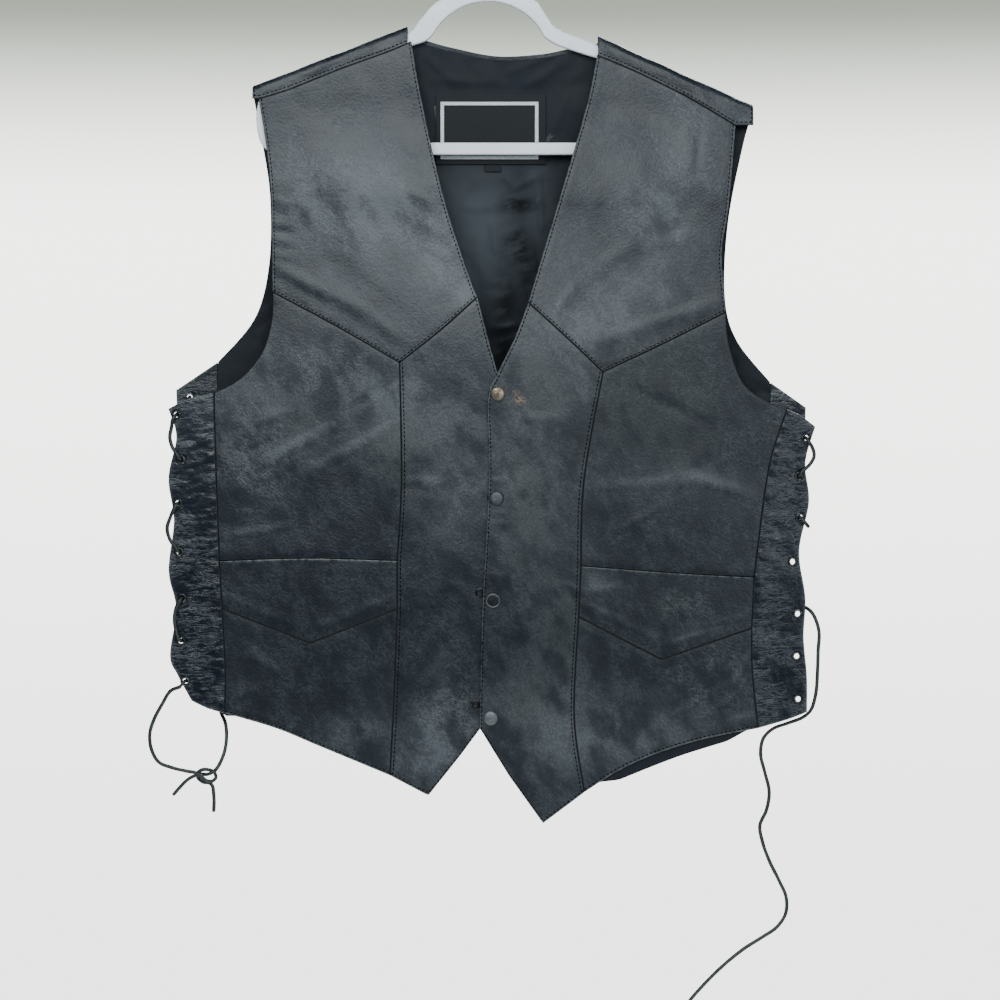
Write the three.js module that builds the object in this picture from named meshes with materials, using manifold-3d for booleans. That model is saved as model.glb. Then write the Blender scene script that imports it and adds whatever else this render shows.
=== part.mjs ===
// A leather vest with laced sides, hanging on a plastic hanger.
// Millimetres, +Z up, front towards -Y. The origin is the inside top of the hanger's hook.
// Left and right are the viewer's, who looks at the front.

import * as THREE from 'three';
import { mergeVertices } from 'three/addons/utils/BufferGeometryUtils.js';
import Module from 'manifold-3d';

const wasm = await Module();
wasm.setup();

// Driving dimensions
const LEATHER = 1.5;
const LINING = 0.8;
const SEAM_GAP = 0.3;
const LAYER_GAP = 0.35;
const MID_X = 2;
const HALF_WIDTH = 280;
const FOLD_RADIUS = 6.5;
const LAP_LIFT = 3.8;
const LAP_FULL_X = 20;
const LAP_END_X = 110;
const LACE_RADIUS = 1.6;
const EYELET = { hole: 2.3, barrel: 2.75, flange: 4.3, lip: 1.0, cut: 3.2, sides: 8 };
const SNAP = { capRadius: 6.25, capHeight: 2.4, studRadius: 4.4, studHeight: 1.3 };
const HANGER = { depth: 7, bevel: 1.5, arm: 12, under: 3 };
const ARCH = { x: -1.7, outerZ: -135, outer: 64.5, innerZ: -139, inner: 53.5 };
const HOOK = { inner: 20, wire: 3.6 };
const BAR = { top: -207.5, bottom: -218 };

// Depth of the front and back bulge, and of the side, at heights down the vest
const DEPTHS = [
  { z: -90, side: 6.5, front: 0, back: 0 },
  { z: -170, side: 6.5, front: 4, back: 3 },
  { z: -260, side: 7, front: 14, back: 8 },
  { z: -400, side: 8, front: 24, back: 13 },
  { z: -560, side: 8, front: 22, back: 12 },
  { z: -700, side: 8, front: 15, back: 9 },
  { z: -820, side: 8, front: 11, back: 8 },
];

// Soft folds of the fronts: a trough or ridge between two points, with its width and its height
const FRONT_FOLDS = [
  { x0: -150, z0: -185, x1: -95, z1: -330, width: 26, height: 2.5 },
  { x0: -70, z0: -170, x1: -60, z1: -300, width: 16, height: -1.8 },
  { x0: -185, z0: -260, x1: -120, z1: -340, width: 18, height: -2.0 },
  { x0: -215, z0: -430, x1: -130, z1: -520, width: 22, height: 2.0 },
  { x0: -70, z0: -700, x1: -25, z1: -640, width: 14, height: 3.0 },
  { x0: -72, z0: -640, x1: -30, z1: -600, width: 14, height: -2.2 },
  { x0: 105, z0: -170, x1: 150, z1: -330, width: 28, height: 2.4 },
  { x0: 185, z0: -240, x1: 120, z1: -330, width: 18, height: -2.0 },
  { x0: 215, z0: -450, x1: 130, z1: -540, width: 24, height: 1.8 },
  { x0: 20, z0: -560, x1: 60, z1: -660, width: 18, height: 2.0 },
  { x0: 100, z0: -660, x1: 200, z1: -700, width: 18, height: -1.6 },
];
const BACK_FOLDS = [
  { x0: -120, z0: -200, x1: -30, z1: -420, width: 30, height: 3.0 },
  { x0: 130, z0: -210, x1: 40, z1: -460, width: 30, height: 2.6 },
  { x0: -170, z0: -450, x1: -60, z1: -640, width: 26, height: -2.2 },
  { x0: 170, z0: -470, x1: 90, z1: -660, width: 26, height: -2.4 },
  { x0: 4, z0: -262, x1: 12, z1: -400, width: 28, height: -2.0 },
];

// Seams and edges of the left front: x, z of the points and the number of cells along each
const LEFT = {
  side: -1,
  shoulder: { cells: 9, xz: [[-199.3, -170], [-172.2, -161.6], [-129.4, -144.5], [-86.6, -128.8], [-68, -120.6]] },
  armUpper: { cells: 10, xz: [[-199.3, -170], [-193.2, -207.5], [-188.9, -247], [-187.6, -290], [-187.1, -337]] },
  neck: { cells: 10, xz: [[-68, -120.6], [-59, -172.3], [-39.4, -258], [-17, -326.8], [-10.8, -342]] },
  yokeOuter: { cells: 6, xz: [[-187.1, -337], [-133, -366], [-77.4, -398.2]] },
  yokeInner: { cells: 3, xz: [[-77.4, -398.2], [-43, -371], [-10.8, -342]] },
  frontEdge: { cells: 18, xz: [[-10.8, -342], [-0.6, -381.7], [5.9, -405.7], [8.6, -417], [5.2, -499], [0.9, -602], [-2.6, -704.3]] },
  centreUpper: { cells: 10, xz: [[-77.4, -398.2], [-75.8, -498.8], [-79.6, -568.5]] },
  centreMid: { cells: 2, xz: [[-79.6, -568.5], [-79.6, -609.6]] },
  centreLower: { cells: 6, xz: [[-79.6, -609.6], [-82.5, -688], [-86, -752.5]] },
  armLower: { cells: 4, xz: [[-187.1, -337], [-188, -361.2], [-196.1, -388.7], [-215, -411.5], [-237.8, -424]] },
  stripUpper: { cells: 6, xz: [[-237.8, -424], [-236, -490], [-233.2, -569]] },
  stripMid: { cells: 2, xz: [[-233.2, -569], [-230.9, -609.6]] },
  stripLower: { cells: 6, xz: [[-230.9, -609.6], [-228, -665], [-228.5, -699.4]] },
  opening: { cells: 6, xz: [[-233.2, -569], [-157, -566.5], [-79.6, -568.5]] },
  pocketPoint: { straight: true, cells: 3, xz: [[-230.9, -609.6], [-154.7, -639.1], [-79.6, -609.6]] },
  hemSide: { cells: 6, xz: [[-228.5, -699.4], [-184.1, -712.3], [-146.3, -727.7], [-86, -752.5]] },
  hemCentre: { straight: true, cells: 1, xz: [[-86, -752.5], [-53, -769.8], [-26, -736], [-2.6, -704.3]] },
  stripTop: { cells: 2, xz: [[-237.8, -424], [-258, -428.2], [-277.2, -437.4]] },
  stripHem: { cells: 2, xz: [[-228.5, -699.4], [-242.6, -695.7], [-257, -689]] },
  stripEdge: {
    cells: 28,
    xz: [[-277.2, -437.4], [-270.3, -461.5], [-277, -497], [-272.4, -533.5], [-276.9, -577],
      [-270.5, -610], [-275.7, -650], [-268.7, -667.7], [-257, -689]],
  },
};

const RIGHT = {
  side: 1,
  shoulder: { cells: 9, xz: [[211.5, -193], [170.1, -168.7], [127.3, -147.3], [92.3, -132.5]] },
  armUpper: { cells: 10, xz: [[211.5, -193], [208.6, -229.4], [204.9, -266.8], [199.5, -305], [203, -354.3]] },
  neck: { cells: 10, xz: [[92.3, -132.5], [83.9, -174.6], [59.7, -258], [38.9, -326.8], [32.9, -346.7]] },
  yokeOuter: { cells: 6, xz: [[203, -354.3], [150, -381], [96.9, -406.3]] },
  yokeInner: { cells: 3, xz: [[96.9, -406.3], [66, -377], [32.9, -346.7]] },
  frontEdge: { cells: 18, xz: [[32.9, -346.7], [22, -376], [6.5, -408], [-1.4, -430], [-0.6, -498.8], [-6.3, -612.1], [-8.5, -712.1]] },
  centreUpper: { cells: 10, xz: [[96.9, -406.3], [80.6, -498.8], [78, -573]] },
  centreMid: { cells: 2, xz: [[78, -573], [76, -616]] },
  centreLower: { cells: 6, xz: [[76, -616], [72.2, -700.9], [81.1, -767]] },
  armLower: { cells: 4, xz: [[203, -354.3], [204.9, -378.7], [216, -412.2], [234, -429], [255.9, -437.9]] },
  stripUpper: { cells: 6, xz: [[255.9, -437.9], [241.8, -480.9], [233.5, -533.2], [227.5, -583]] },
  stripMid: { cells: 2, xz: [[227.5, -583], [225.3, -626.4]] },
  stripLower: { cells: 6, xz: [[225.3, -626.4], [226, -665], [230.9, -712.4]] },
  opening: { cells: 6, xz: [[227.5, -583], [156.8, -579], [78, -573]] },
  pocketPoint: { straight: true, cells: 3, xz: [[225.3, -626.4], [147.1, -653], [76, -616]] },
  hemSide: { cells: 6, xz: [[230.9, -712.4], [183.6, -721.7], [142.5, -734.1], [109.6, -748.9], [81.1, -767]] },
  hemCentre: { straight: true, cells: 1, xz: [[81.1, -767], [45.6, -793.5], [16, -752], [-8.5, -712.1]] },
  stripTop: { cells: 2, xz: [[255.9, -437.9], [268, -443.5], [280.3, -452.8]] },
  stripHem: { cells: 2, xz: [[230.9, -712.4], [255.9, -705.2], [273.1, -698.6]] },
  stripEdge: {
    cells: 28,
    xz: [[280.3, -452.8], [271.7, -484], [274.8, -517.7], [266.4, -560], [271.7, -600.2],
      [270.2, -634], [273, -668], [273.1, -698.6]],
  },
};

// The back panel and its two lace strips
const BACK = {
  left: {
    armhole: { cells: 9, xz: [[-205, -165.3], [-196.6, -208.8], [-190.2, -255], [-191.3, -312.9], [-203.8, -359], [-236, -397]] },
    seam: { cells: 11, xz: [[-236, -397], [-234.5, -500], [-230, -610], [-228, -703]] },
    stripEdge: [[-271.6, -421], [-269.5, -480], [-270, -560], [-267, -630], [-255.5, -686]],
  },
  right: {
    armhole: { cells: 9, xz: [[227.1, -181.5], [218.9, -208.9], [206, -275], [203, -337.6], [213, -377], [243, -414.5]] },
    seam: { cells: 11, xz: [[243, -414.5], [238, -500], [229, -610], [230, -706]] },
    stripEdge: [[273.2, -436], [271.5, -480], [268, -535], [258, -566], [258.5, -630], [259, -698]],
  },
  neckRim: [[-71, -113.4], [-54.4, -118.8], [-31.3, -125], [6, -132], [43.5, -130.3], [66, -126.2], [93, -122.2]],
  foldLeft: [[-205, -158.8], [-71, -106.6]],
  foldRight: [[93, -115.4], [227.1, -175]],
  shoulderCells: 5,
  neckCells: 7,
  wrapArc: 4,
};

// Eyelet centres, top to bottom, on the front and the back strips
const EYELETS = {
  left: {
    front: [[-270.4, -442.5], [-266.4, -481.2], [-269, -518.7], [-268, -560.7], [-265.5, -600.6], [-266.4, -637.4], [-262.7, -672]],
    back: [[-260, -427], [-261.5, -479], [-262.5, -515], [-262, -557], [-260.5, -597], [-260, -634], [-254, -668]],
  },
  right: {
    front: [[272.2, -462.5], [266.3, -495.4], [267.2, -530.9], [260.6, -569.1], [265, -614], [264.2, -650.5], [265.5, -687.4]],
    back: [[265.5, -455], [264.5, -491], [262, -527], [250.5, -573], [251, -611], [251.3, -648], [251.5, -684]],
  },
};

// Snap caps on the right front's edge, and the studs under them or beside them
const SNAPS = [
  { cap: [6.8, -425], stud: [2.6, -425.5] },
  { cap: [5.8, -514.3], stud: [-1.2, -513.8] },
  { cap: [2.6, -602], stud: [-8.5, -595] },
  { cap: [0.6, -703.0], stud: [-12.2, -691.3] },
];

const LABEL = { x0: -46.9, x1: 48.2, z0: -225, z1: -165.4, thick: 0.7 };
const SIZE_TAB = { x0: -4.8, x1: 9.5, z0: -231.5, z1: -225.6, thick: 0.6 };
const FACING = [
  { x: 84, hem: -763.5, low: -768.6 },
  { x: 114.5, hem: -746.5, low: -755.4 },
  { x: 158.9, hem: -729, low: -738 },
  { x: 191.9, hem: -719.8, low: -727.5 },
  { x: 221, hem: -714.2, low: -718.4 },
];

// Leather, cloth, metal and plastic
function surface(color, roughness, metalness = 0) {
  return new THREE.MeshStandardMaterial({ color, roughness, metalness, side: THREE.DoubleSide });
}

const vest = new THREE.Group();

function add(name, geometry, color, roughness, metalness) {
  const mesh = new THREE.Mesh(geometry, surface(color, roughness, metalness));
  mesh.name = name;
  vest.add(mesh);
  return mesh;
}

const BLACK_LEATHER = [0x262c33, 0.5];
const LINING_CLOTH = [0x12161c, 0.6];
const LACE = [0x1d2120, 0.75];

// Smooth steps and tables
function smooth(t) {
  const c = THREE.MathUtils.clamp(t, 0, 1);
  return c * c * (3 - 2 * c);
}

function fromTable(rows, key, z) {
  const last = rows.length - 1;
  if (z >= rows[0].z) return rows[0][key];
  if (z <= rows[last].z) return rows[last][key];
  const i = rows.findIndex((row) => row.z < z);
  const a = rows[i - 1];
  const b = rows[i];
  return a[key] + (b[key] - a[key]) * smooth((z - a.z) / (b.z - a.z));
}

function foldHeight(folds, x, z) {
  let sum = 0;
  for (const f of folds) {
    const dx = f.x1 - f.x0;
    const dz = f.z1 - f.z0;
    const t = ((x - f.x0) * dx + (z - f.z0) * dz) / (dx * dx + dz * dz);
    const along = THREE.MathUtils.clamp(t, 0, 1);
    const away = Math.hypot(x - f.x0 - along * dx, z - f.z0 - along * dz) / f.width;
    if (away < 1) sum += f.height * (1 - away * away) ** 2 * Math.sin(Math.PI * (0.15 + 0.7 * along));
  }
  return sum;
}

function bulge(x) {
  const u = Math.min(1, Math.abs(x - MID_X) / HALF_WIDTH);
  return Math.cos((u * Math.PI) / 2) ** 1.3;
}

// The outer faces of the front and back cloth, as heights over the x, z plane
function frontFace(x, z, lift = 0) {
  const depth = fromTable(DEPTHS, 'side', z) + fromTable(DEPTHS, 'front', z) * bulge(x);
  const lap = lift * (1 - smooth((x - LAP_FULL_X) / (LAP_END_X - LAP_FULL_X)));
  const ease = smooth((-130 - z) / 40);
  return -(depth + foldHeight(FRONT_FOLDS, x, z) * ease + lap * smooth((-120 - z) / 60));
}

function backFace(x, z) {
  const depth = fromTable(DEPTHS, 'side', z) + fromTable(DEPTHS, 'back', z) * bulge(x);
  const ease = smooth((-130 - z) / 40);
  return depth + foldHeight(BACK_FOLDS, x, z) * ease;
}

const leftFace = (x, z) => frontFace(x, z);
const rightFace = (x, z) => frontFace(x, z, LAP_LIFT);

// A point on a face, moved inwards by a depth along the face's normal
function faceNormal(face, x, z) {
  const d = 2;
  const dx = (face(x + d, z) - face(x - d, z)) / (2 * d);
  const dz = (face(x, z + d) - face(x, z - d)) / (2 * d);
  const out = face(x, z) < 0 ? -1 : 1;
  return new THREE.Vector3(-dx * out, out, -dz * out).normalize();
}

function onFace(face, x, z, inwards = 0) {
  const p = new THREE.Vector3(x, face(x, z), z);
  return p.addScaledVector(faceNormal(face, x, z), -inwards);
}

// Points in x, z along a line, evenly spaced; a straight one keeps its corners
function samples({ xz, cells, straight }) {
  const points = xz.map(([x, z]) => new THREE.Vector2(x, z));
  if (!straight) return new THREE.SplineCurve(points).getSpacedPoints(cells);
  const out = [points[0]];
  for (let i = 1; i < points.length; i += 1) {
    for (let k = 1; k <= cells; k += 1) out.push(points[i - 1].clone().lerp(points[i], k / cells));
  }
  return out;
}

const joined = (...lines) => lines.reduce((a, b) => a.concat(b.slice(1)));

function halved(line) {
  const out = [line[0]];
  for (let i = 1; i < line.length; i += 1) out.push(line[i - 1].clone().lerp(line[i], 0.5), line[i]);
  return out;
}

// Fills the space between four lines: rows run from top to bottom, columns from left to right
function patch(top, bottom, left, right) {
  const n = top.length - 1;
  const m = left.length - 1;
  const rows = [];
  for (let j = 0; j <= m; j += 1) {
    const v = j / m;
    const row = [];
    for (let i = 0; i <= n; i += 1) {
      const u = i / n;
      const mix = (a, b, t) => a * (1 - t) + b * t;
      const at = (k) => mix(top[i][k], bottom[i][k], v) + mix(left[j][k], right[j][k], u)
        - mix(mix(top[0][k], top[n][k], u), mix(bottom[0][k], bottom[n][k], u), v);
      row.push(new THREE.Vector2(at('x'), at('y')));
    }
    rows.push(row);
  }
  return rows;
}

// Draws the rim of a grid in by half a seam gap, towards the rows and columns next to it
function trimmed(rows, gap) {
  const m = rows.length - 1;
  const n = rows[0].length - 1;
  const out = rows.map((row) => row.map((p) => p.clone()));
  const step = (a, b) => b.clone().sub(a).normalize().multiplyScalar(gap / 2);
  for (let i = 0; i <= n; i += 1) {
    out[0][i].add(step(rows[0][i], rows[1][i]));
    out[m][i].add(step(rows[m][i], rows[m - 1][i]));
  }
  for (let j = 0; j <= m; j += 1) {
    out[j][0].add(step(rows[j][0], rows[j][1]));
    out[j][n].add(step(rows[j][n], rows[j][n - 1]));
  }
  return out;
}

// A closed wall from a grid of outer and inner points; a missing point leaves its cells out
function wall(outer, inner) {
  const positions = [];
  const index = [];
  const ids = outer.map((row) => row.map((p) => (p ? positions.push(p) - 1 : -1)));
  const shift = positions.length;
  inner.forEach((row) => row.forEach((p) => p && positions.push(p)));
  const edges = new Map();
  const face = (a, b, c) => {
    index.push(a, b, c, a + shift, c + shift, b + shift);
    [[a, b], [b, c], [c, a]].forEach(([p, q]) => {
      if (!edges.delete(`${q},${p}`)) edges.set(`${p},${q}`, [p, q]);
    });
  };
  for (let j = 0; j + 1 < ids.length; j += 1) {
    for (let i = 0; i + 1 < ids[j].length; i += 1) {
      const [a, b, c, d] = [ids[j][i], ids[j][i + 1], ids[j + 1][i + 1], ids[j + 1][i]];
      if (Math.min(a, b, c, d) < 0) continue;
      if (positions[a].distanceTo(positions[c]) <= positions[b].distanceTo(positions[d])) {
        face(a, b, c);
        face(a, c, d);
      } else {
        face(a, b, d);
        face(b, c, d);
      }
    }
  }
  edges.forEach(([p, q]) => index.push(q, p, p + shift, q, p + shift, q + shift));
  const geometry = new THREE.BufferGeometry().setFromPoints(positions);
  geometry.setIndex(index);
  return outwards(geometry);
}

// Turns a closed body's faces out if they point in
function outwards(geometry) {
  const p = geometry.attributes.position;
  const index = geometry.index.array;
  const [a, b, c] = [0, 1, 2].map(() => new THREE.Vector3());
  let volume = 0;
  for (let i = 0; i < index.length; i += 3) {
    a.fromBufferAttribute(p, index[i]);
    b.fromBufferAttribute(p, index[i + 1]);
    c.fromBufferAttribute(p, index[i + 2]);
    volume += a.dot(b.cross(c));
  }
  if (volume < 0) {
    for (let i = 0; i < index.length; i += 3) [index[i], index[i + 1]] = [index[i + 1], index[i]];
  }
  return geometry;
}

// A wall on a face, from depth `outer` to depth `inner` below the face
function clothOn(face, rows, outer, inner, gap = SEAM_GAP) {
  const flat = trimmed(rows, gap);
  const lift = (depth) => flat.map((row) => row.map((p) => onFace(face, p.x, p.y, depth)));
  return wall(lift(outer), lift(inner));
}

// Joins and cuts
function solidOf(geometry) {
  const g = geometry.clone();
  g.deleteAttribute('normal');
  g.deleteAttribute('uv');
  const merged = mergeVertices(g, 1e-4);
  return new wasm.Manifold(new wasm.Mesh({
    numProp: 3,
    vertProperties: new Float32Array(merged.attributes.position.array),
    triVerts: new Uint32Array(merged.index.array),
  }));
}

function geometryOf(solid) {
  const mesh = solid.getMesh();
  const geometry = new THREE.BufferGeometry();
  geometry.setAttribute('position', new THREE.BufferAttribute(new Float32Array(mesh.vertProperties), 3));
  geometry.setIndex(new THREE.BufferAttribute(new Uint32Array(mesh.triVerts), 1));
  return geometry;
}

// A turned piece, from a closed profile of radius and height, set on a point along a normal
function turned(profile, sides, point, normal) {
  const ring = profile.concat([profile[0]]).map(([r, h]) => new THREE.Vector2(r, h));
  const geometry = mergeVertices(bare(new THREE.LatheGeometry(ring, sides)), 1e-4);
  const turn = new THREE.Quaternion().setFromUnitVectors(new THREE.Vector3(0, 1, 0), normal);
  geometry.applyQuaternion(turn);
  geometry.translate(point.x, point.y, point.z);
  return outwards(dropFlat(geometry));
}

function bare(geometry) {
  geometry.deleteAttribute('normal');
  geometry.deleteAttribute('uv');
  return geometry;
}

// Leaves out triangles that have lost their area where a profile meets its axis
function dropFlat(geometry) {
  const index = Array.from(geometry.index.array);
  const kept = [];
  for (let i = 0; i < index.length; i += 3) {
    const [a, b, c] = index.slice(i, i + 3);
    if (a !== b && b !== c && c !== a) kept.push(a, b, c);
  }
  geometry.setIndex(kept);
  return geometry;
}

// A cord through a list of points, with its steps spread evenly from point to point
class Route extends THREE.CatmullRomCurve3 {
  constructor(points) {
    super(points, false, 'centripetal');
  }

  getUtoTmapping(u) {
    return u;
  }
}

function cord(points, stepsEach, radius = LACE_RADIUS, sides = 8) {
  const section = new THREE.Shape();
  for (let k = 0; k < sides; k += 1) {
    const a = (2 * Math.PI * k) / sides;
    if (k === 0) section.moveTo(radius, 0);
    else section.lineTo(radius * Math.cos(a), radius * Math.sin(a));
  }
  const route = new Route(points);
  const steps = (points.length - 1) * stepsEach;
  return mergeVertices(bare(new THREE.ExtrudeGeometry(section, { extrudePath: route, steps })), 1e-4);
}

// The place of a flat spot on a wall: its point and normal, read over the spot's own width
function seat(face, [x, z], reach = EYELET.flange) {
  const at = (dx, dz) => new THREE.Vector3(x + dx, face(x + dx, z + dz), z + dz);
  const across = at(reach, 0).sub(at(-reach, 0));
  const along = at(0, reach).sub(at(0, -reach));
  const normal = across.cross(along).normalize();
  const out = Math.sign(face(x, z));
  if (normal.y * out < 0) normal.negate();
  return { point: at(0, 0), normal };
}

// A hole through a wall for each seat
function punched(geometry, seats) {
  let solid = solidOf(geometry);
  for (const { point, normal } of seats) {
    const cutter = new THREE.CylinderGeometry(EYELET.cut, EYELET.cut, 6 * LEATHER, EYELET.sides);
    cutter.applyQuaternion(new THREE.Quaternion().setFromUnitVectors(new THREE.Vector3(0, 1, 0), normal));
    cutter.translate(point.x, point.y, point.z);
    solid = solid.subtract(solidOf(cutter));
  }
  return geometryOf(solid);
}

function eyelet(name, { point, normal }) {
  const foot = -LEATHER - LAYER_GAP;
  const { hole, barrel, flange, lip, sides } = EYELET;
  const profile = [
    [hole, foot], [barrel, foot], [barrel, LAYER_GAP], [flange, LAYER_GAP], [hole + 0.7, LAYER_GAP + lip],
    [hole, LAYER_GAP + lip * 0.6],
  ];
  add(name, turned(profile, sides, point, normal), 0x24272a, 0.35, 0.7);
}

// The six panels of one front
function front(side, table, face) {
  const seams = {};
  for (const [key, row] of Object.entries(table)) if (row.xz) seams[key] = samples(row);
  const flip = table.side > 0;
  const panel = (name, top, bottom, outerSide, innerSide) => {
    const [left, right] = flip ? [innerSide, outerSide] : [outerSide, innerSide];
    const line = (points) => (flip ? points.slice().reverse() : points);
    return { name: `${side}_${name}`, rows: patch(line(top), line(bottom), left, right) };
  };
  const s = seams;
  const shoulder = s.shoulder;
  const panels = [
    panel('yoke', shoulder, joined(s.yokeOuter, s.yokeInner), s.armUpper, s.neck),
    panel('centre_panel', s.yokeInner, s.hemCentre,
      joined(s.centreUpper, s.centreMid, s.centreLower), s.frontEdge),
    panel('side_panel_upper', s.yokeOuter, s.opening, joined(s.armLower, s.stripUpper), s.centreUpper),
    panel('pocket', s.opening, s.pocketPoint, s.stripMid, s.centreMid),
    panel('side_panel_lower', s.pocketPoint, s.hemSide, s.stripLower, s.centreLower),
  ];
  for (const { name, rows } of panels) add(name, clothOn(face, rows, 0, LEATHER), ...BLACK_LEATHER);
  const seam = halved(joined(s.stripUpper, s.stripMid, s.stripLower));
  const line = (points) => (flip ? points : points.slice().reverse());
  const [left, right] = flip ? [seam, s.stripEdge] : [s.stripEdge, seam];
  const strip = patch(line(s.stripTop), line(s.stripHem), left, right);
  const seats = EYELETS[side].front.map((at) => seat(face, at));
  add(`${side}_lace_strip_front`, punched(clothOn(face, strip, 0, LEATHER), seats), ...BLACK_LEATHER);
  seats.forEach((place, i) => eyelet(`${side}_eyelet_front_${i + 1}`, place));
}

front('left', LEFT, leftFace);
front('right', RIGHT, rightFace);

// The back panel goes up its own face, over the hanger's arms and down to the shoulder seams
const lineAt = ([[x0, z0], [x1, z1]], x) => z0 + ((z1 - z0) * (x - x0)) / (x1 - x0);

function backTop() {
  const fold = (line) => line.map(([x, z]) => [x, z - FOLD_RADIUS]);
  const straight = (xz, cells) => samples({ xz, cells, straight: true });
  return joined(
    straight(fold(BACK.foldLeft), BACK.shoulderCells),
    samples({ xz: BACK.neckRim, cells: BACK.neckCells }),
    straight(fold(BACK.foldRight), BACK.shoulderCells),
  );
}

const backColumns = 2 * BACK.shoulderCells + BACK.neckCells;
const backHem = samples({ xz: [[-228, -703], [0, -706], [230, -706]], cells: backColumns });
const backSide = ({ armhole, seam }) => joined(samples(armhole), samples(seam));
const top = backTop();
const backRows = patch(top, backHem, backSide(BACK.left), backSide(BACK.right));

function overShoulder(x, isLeft, depth) {
  const ridge = lineAt(isLeft ? BACK.foldLeft : BACK.foldRight, x);
  const seamLine = samples({ ...(isLeft ? LEFT : RIGHT).shoulder, cells: 40 });
  const near = seamLine.reduce((a, b) => (Math.abs(b.x - x) < Math.abs(a.x - x) ? b : a));
  const centre = ridge - FOLD_RADIUS;
  const r = FOLD_RADIUS - depth;
  const column = [];
  for (let k = 1; k <= BACK.wrapArc; k += 1) {
    const a = (Math.PI * k) / BACK.wrapArc;
    column.push(new THREE.Vector3(x, r * Math.cos(a), centre + r * Math.sin(a)));
  }
  const end = Math.min(near.y + SEAM_GAP + 0.4, centre - 1);
  column.push(new THREE.Vector3(x, frontFace(x, end) + depth, end));
  return column;
}

function backGrid(depth) {
  const flat = trimmed(backRows, SEAM_GAP);
  const rows = flat.map((row) => row.map((p) => onFace(backFace, p.x, p.y, depth)));
  const wraps = Array.from({ length: BACK.wrapArc + 1 }, () => new Array(backColumns + 1).fill(null));
  for (let i = 0; i <= backColumns; i += 1) {
    const isLeft = i <= BACK.shoulderCells;
    if (!isLeft && i < backColumns - BACK.shoulderCells) continue;
    const x = top[i].x;
    rows[0][i].set(x, FOLD_RADIUS - depth, lineAt(isLeft ? BACK.foldLeft : BACK.foldRight, x) - FOLD_RADIUS);
    overShoulder(x, isLeft, depth).forEach((p, k) => { wraps[k][i] = p; });
  }
  return wraps.reverse().concat(rows);
}

add('back_panel', wall(backGrid(0), backGrid(LEATHER)), ...BLACK_LEATHER);

function backStrip(side) {
  const seam = halved(samples(BACK[side].seam));
  const last = seam.length - 1;
  const edge = samples({ xz: BACK[side].stripEdge, cells: last });
  const [left, right] = side === 'left' ? [edge, seam] : [seam, edge];
  const across = (j) => [left[j], left[j].clone().lerp(right[j], 0.5), right[j]];
  const rows = patch(across(0), across(last), left, right);
  const seats = EYELETS[side].back.map((at) => seat(backFace, at));
  add(`${side}_lace_strip_back`, punched(clothOn(backFace, rows, 0, LEATHER), seats), ...BLACK_LEATHER);
  seats.forEach((place, i) => eyelet(`${side}_eyelet_back_${i + 1}`, place));
}

backStrip('left');
backStrip('right');

// The lining lies inside the back, down to below the front's neck opening
const LINING_ROWS = 12;
const LINING_INSET = 0.2;
const liningTop = LEATHER + LAYER_GAP;

function liningGrid(depth) {
  const from = BACK.wrapArc + 1;
  const rows = backGrid(depth).slice(from, from + LINING_ROWS + 1);
  const drawIn = (a, b) => a.clone().lerp(b, LINING_INSET);
  const high = rows[0].map((p, i) => drawIn(p, rows[1][i]));
  return [high, ...rows.slice(1)].map((row) => {
    const last = row.length - 1;
    return [drawIn(row[0], row[1]), ...row.slice(1, last), drawIn(row[last], row[last - 1])];
  });
}

add('back_lining', wall(liningGrid(liningTop), liningGrid(liningTop + LINING)), ...LINING_CLOTH);

function rectangle({ x0, x1, z0, z1 }, columns, rows) {
  const line = (a, b, n) => samples({ xz: [a, b], cells: n, straight: true });
  return patch(
    line([x0, z1], [x1, z1], columns),
    line([x0, z0], [x1, z0], columns),
    line([x0, z1], [x0, z0], rows),
    line([x1, z1], [x1, z0], rows),
  );
}

const labelTop = liningTop + LINING + LAYER_GAP + 0.3;
add('neck_label', clothOn(backFace, rectangle(LABEL, 6, 4), labelTop, labelTop + LABEL.thick), 0x15181d, 0.8);
add('size_tab', clothOn(backFace, rectangle(SIZE_TAB, 1, 1), labelTop, labelTop + SIZE_TAB.thick), 0x101215, 0.8);

// The hem facing hangs just behind the right front's hem and shows below it
const facingTop = LEATHER + LAYER_GAP + 0.2;
const facingRows = [5, 0].map((rise) => FACING.map(({ x, hem, low }) => (
  new THREE.Vector2(x, rise ? hem + rise : low))));
add('right_hem_facing', clothOn(rightFace, facingRows, facingTop, facingTop + LINING), ...LINING_CLOTH);

// Snaps: a domed cap on the right front, a stud on the left front
SNAPS.forEach(({ cap, stud }, i) => {
  const { capRadius: r, capHeight: h, studRadius: s, studHeight: t } = SNAP;
  const dome = [[0, LAYER_GAP], [r - 0.4, LAYER_GAP], [r, 1], [r * 0.7, h - 0.3], [0, h]];
  const button = [[0, LAYER_GAP], [s, LAYER_GAP], [s - 0.4, t], [0, t + 0.3]];
  add(`snap_cap_${i + 1}`, turned(dome, 12, ...Object.values(seat(rightFace, cap, r))), 0x4a4a48, 0.35, 0.8);
  add(`snap_stud_${i + 1}`, turned(button, 10, ...Object.values(seat(leftFace, stud, s))), 0x3a3a3a, 0.35, 0.8);
});

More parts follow.
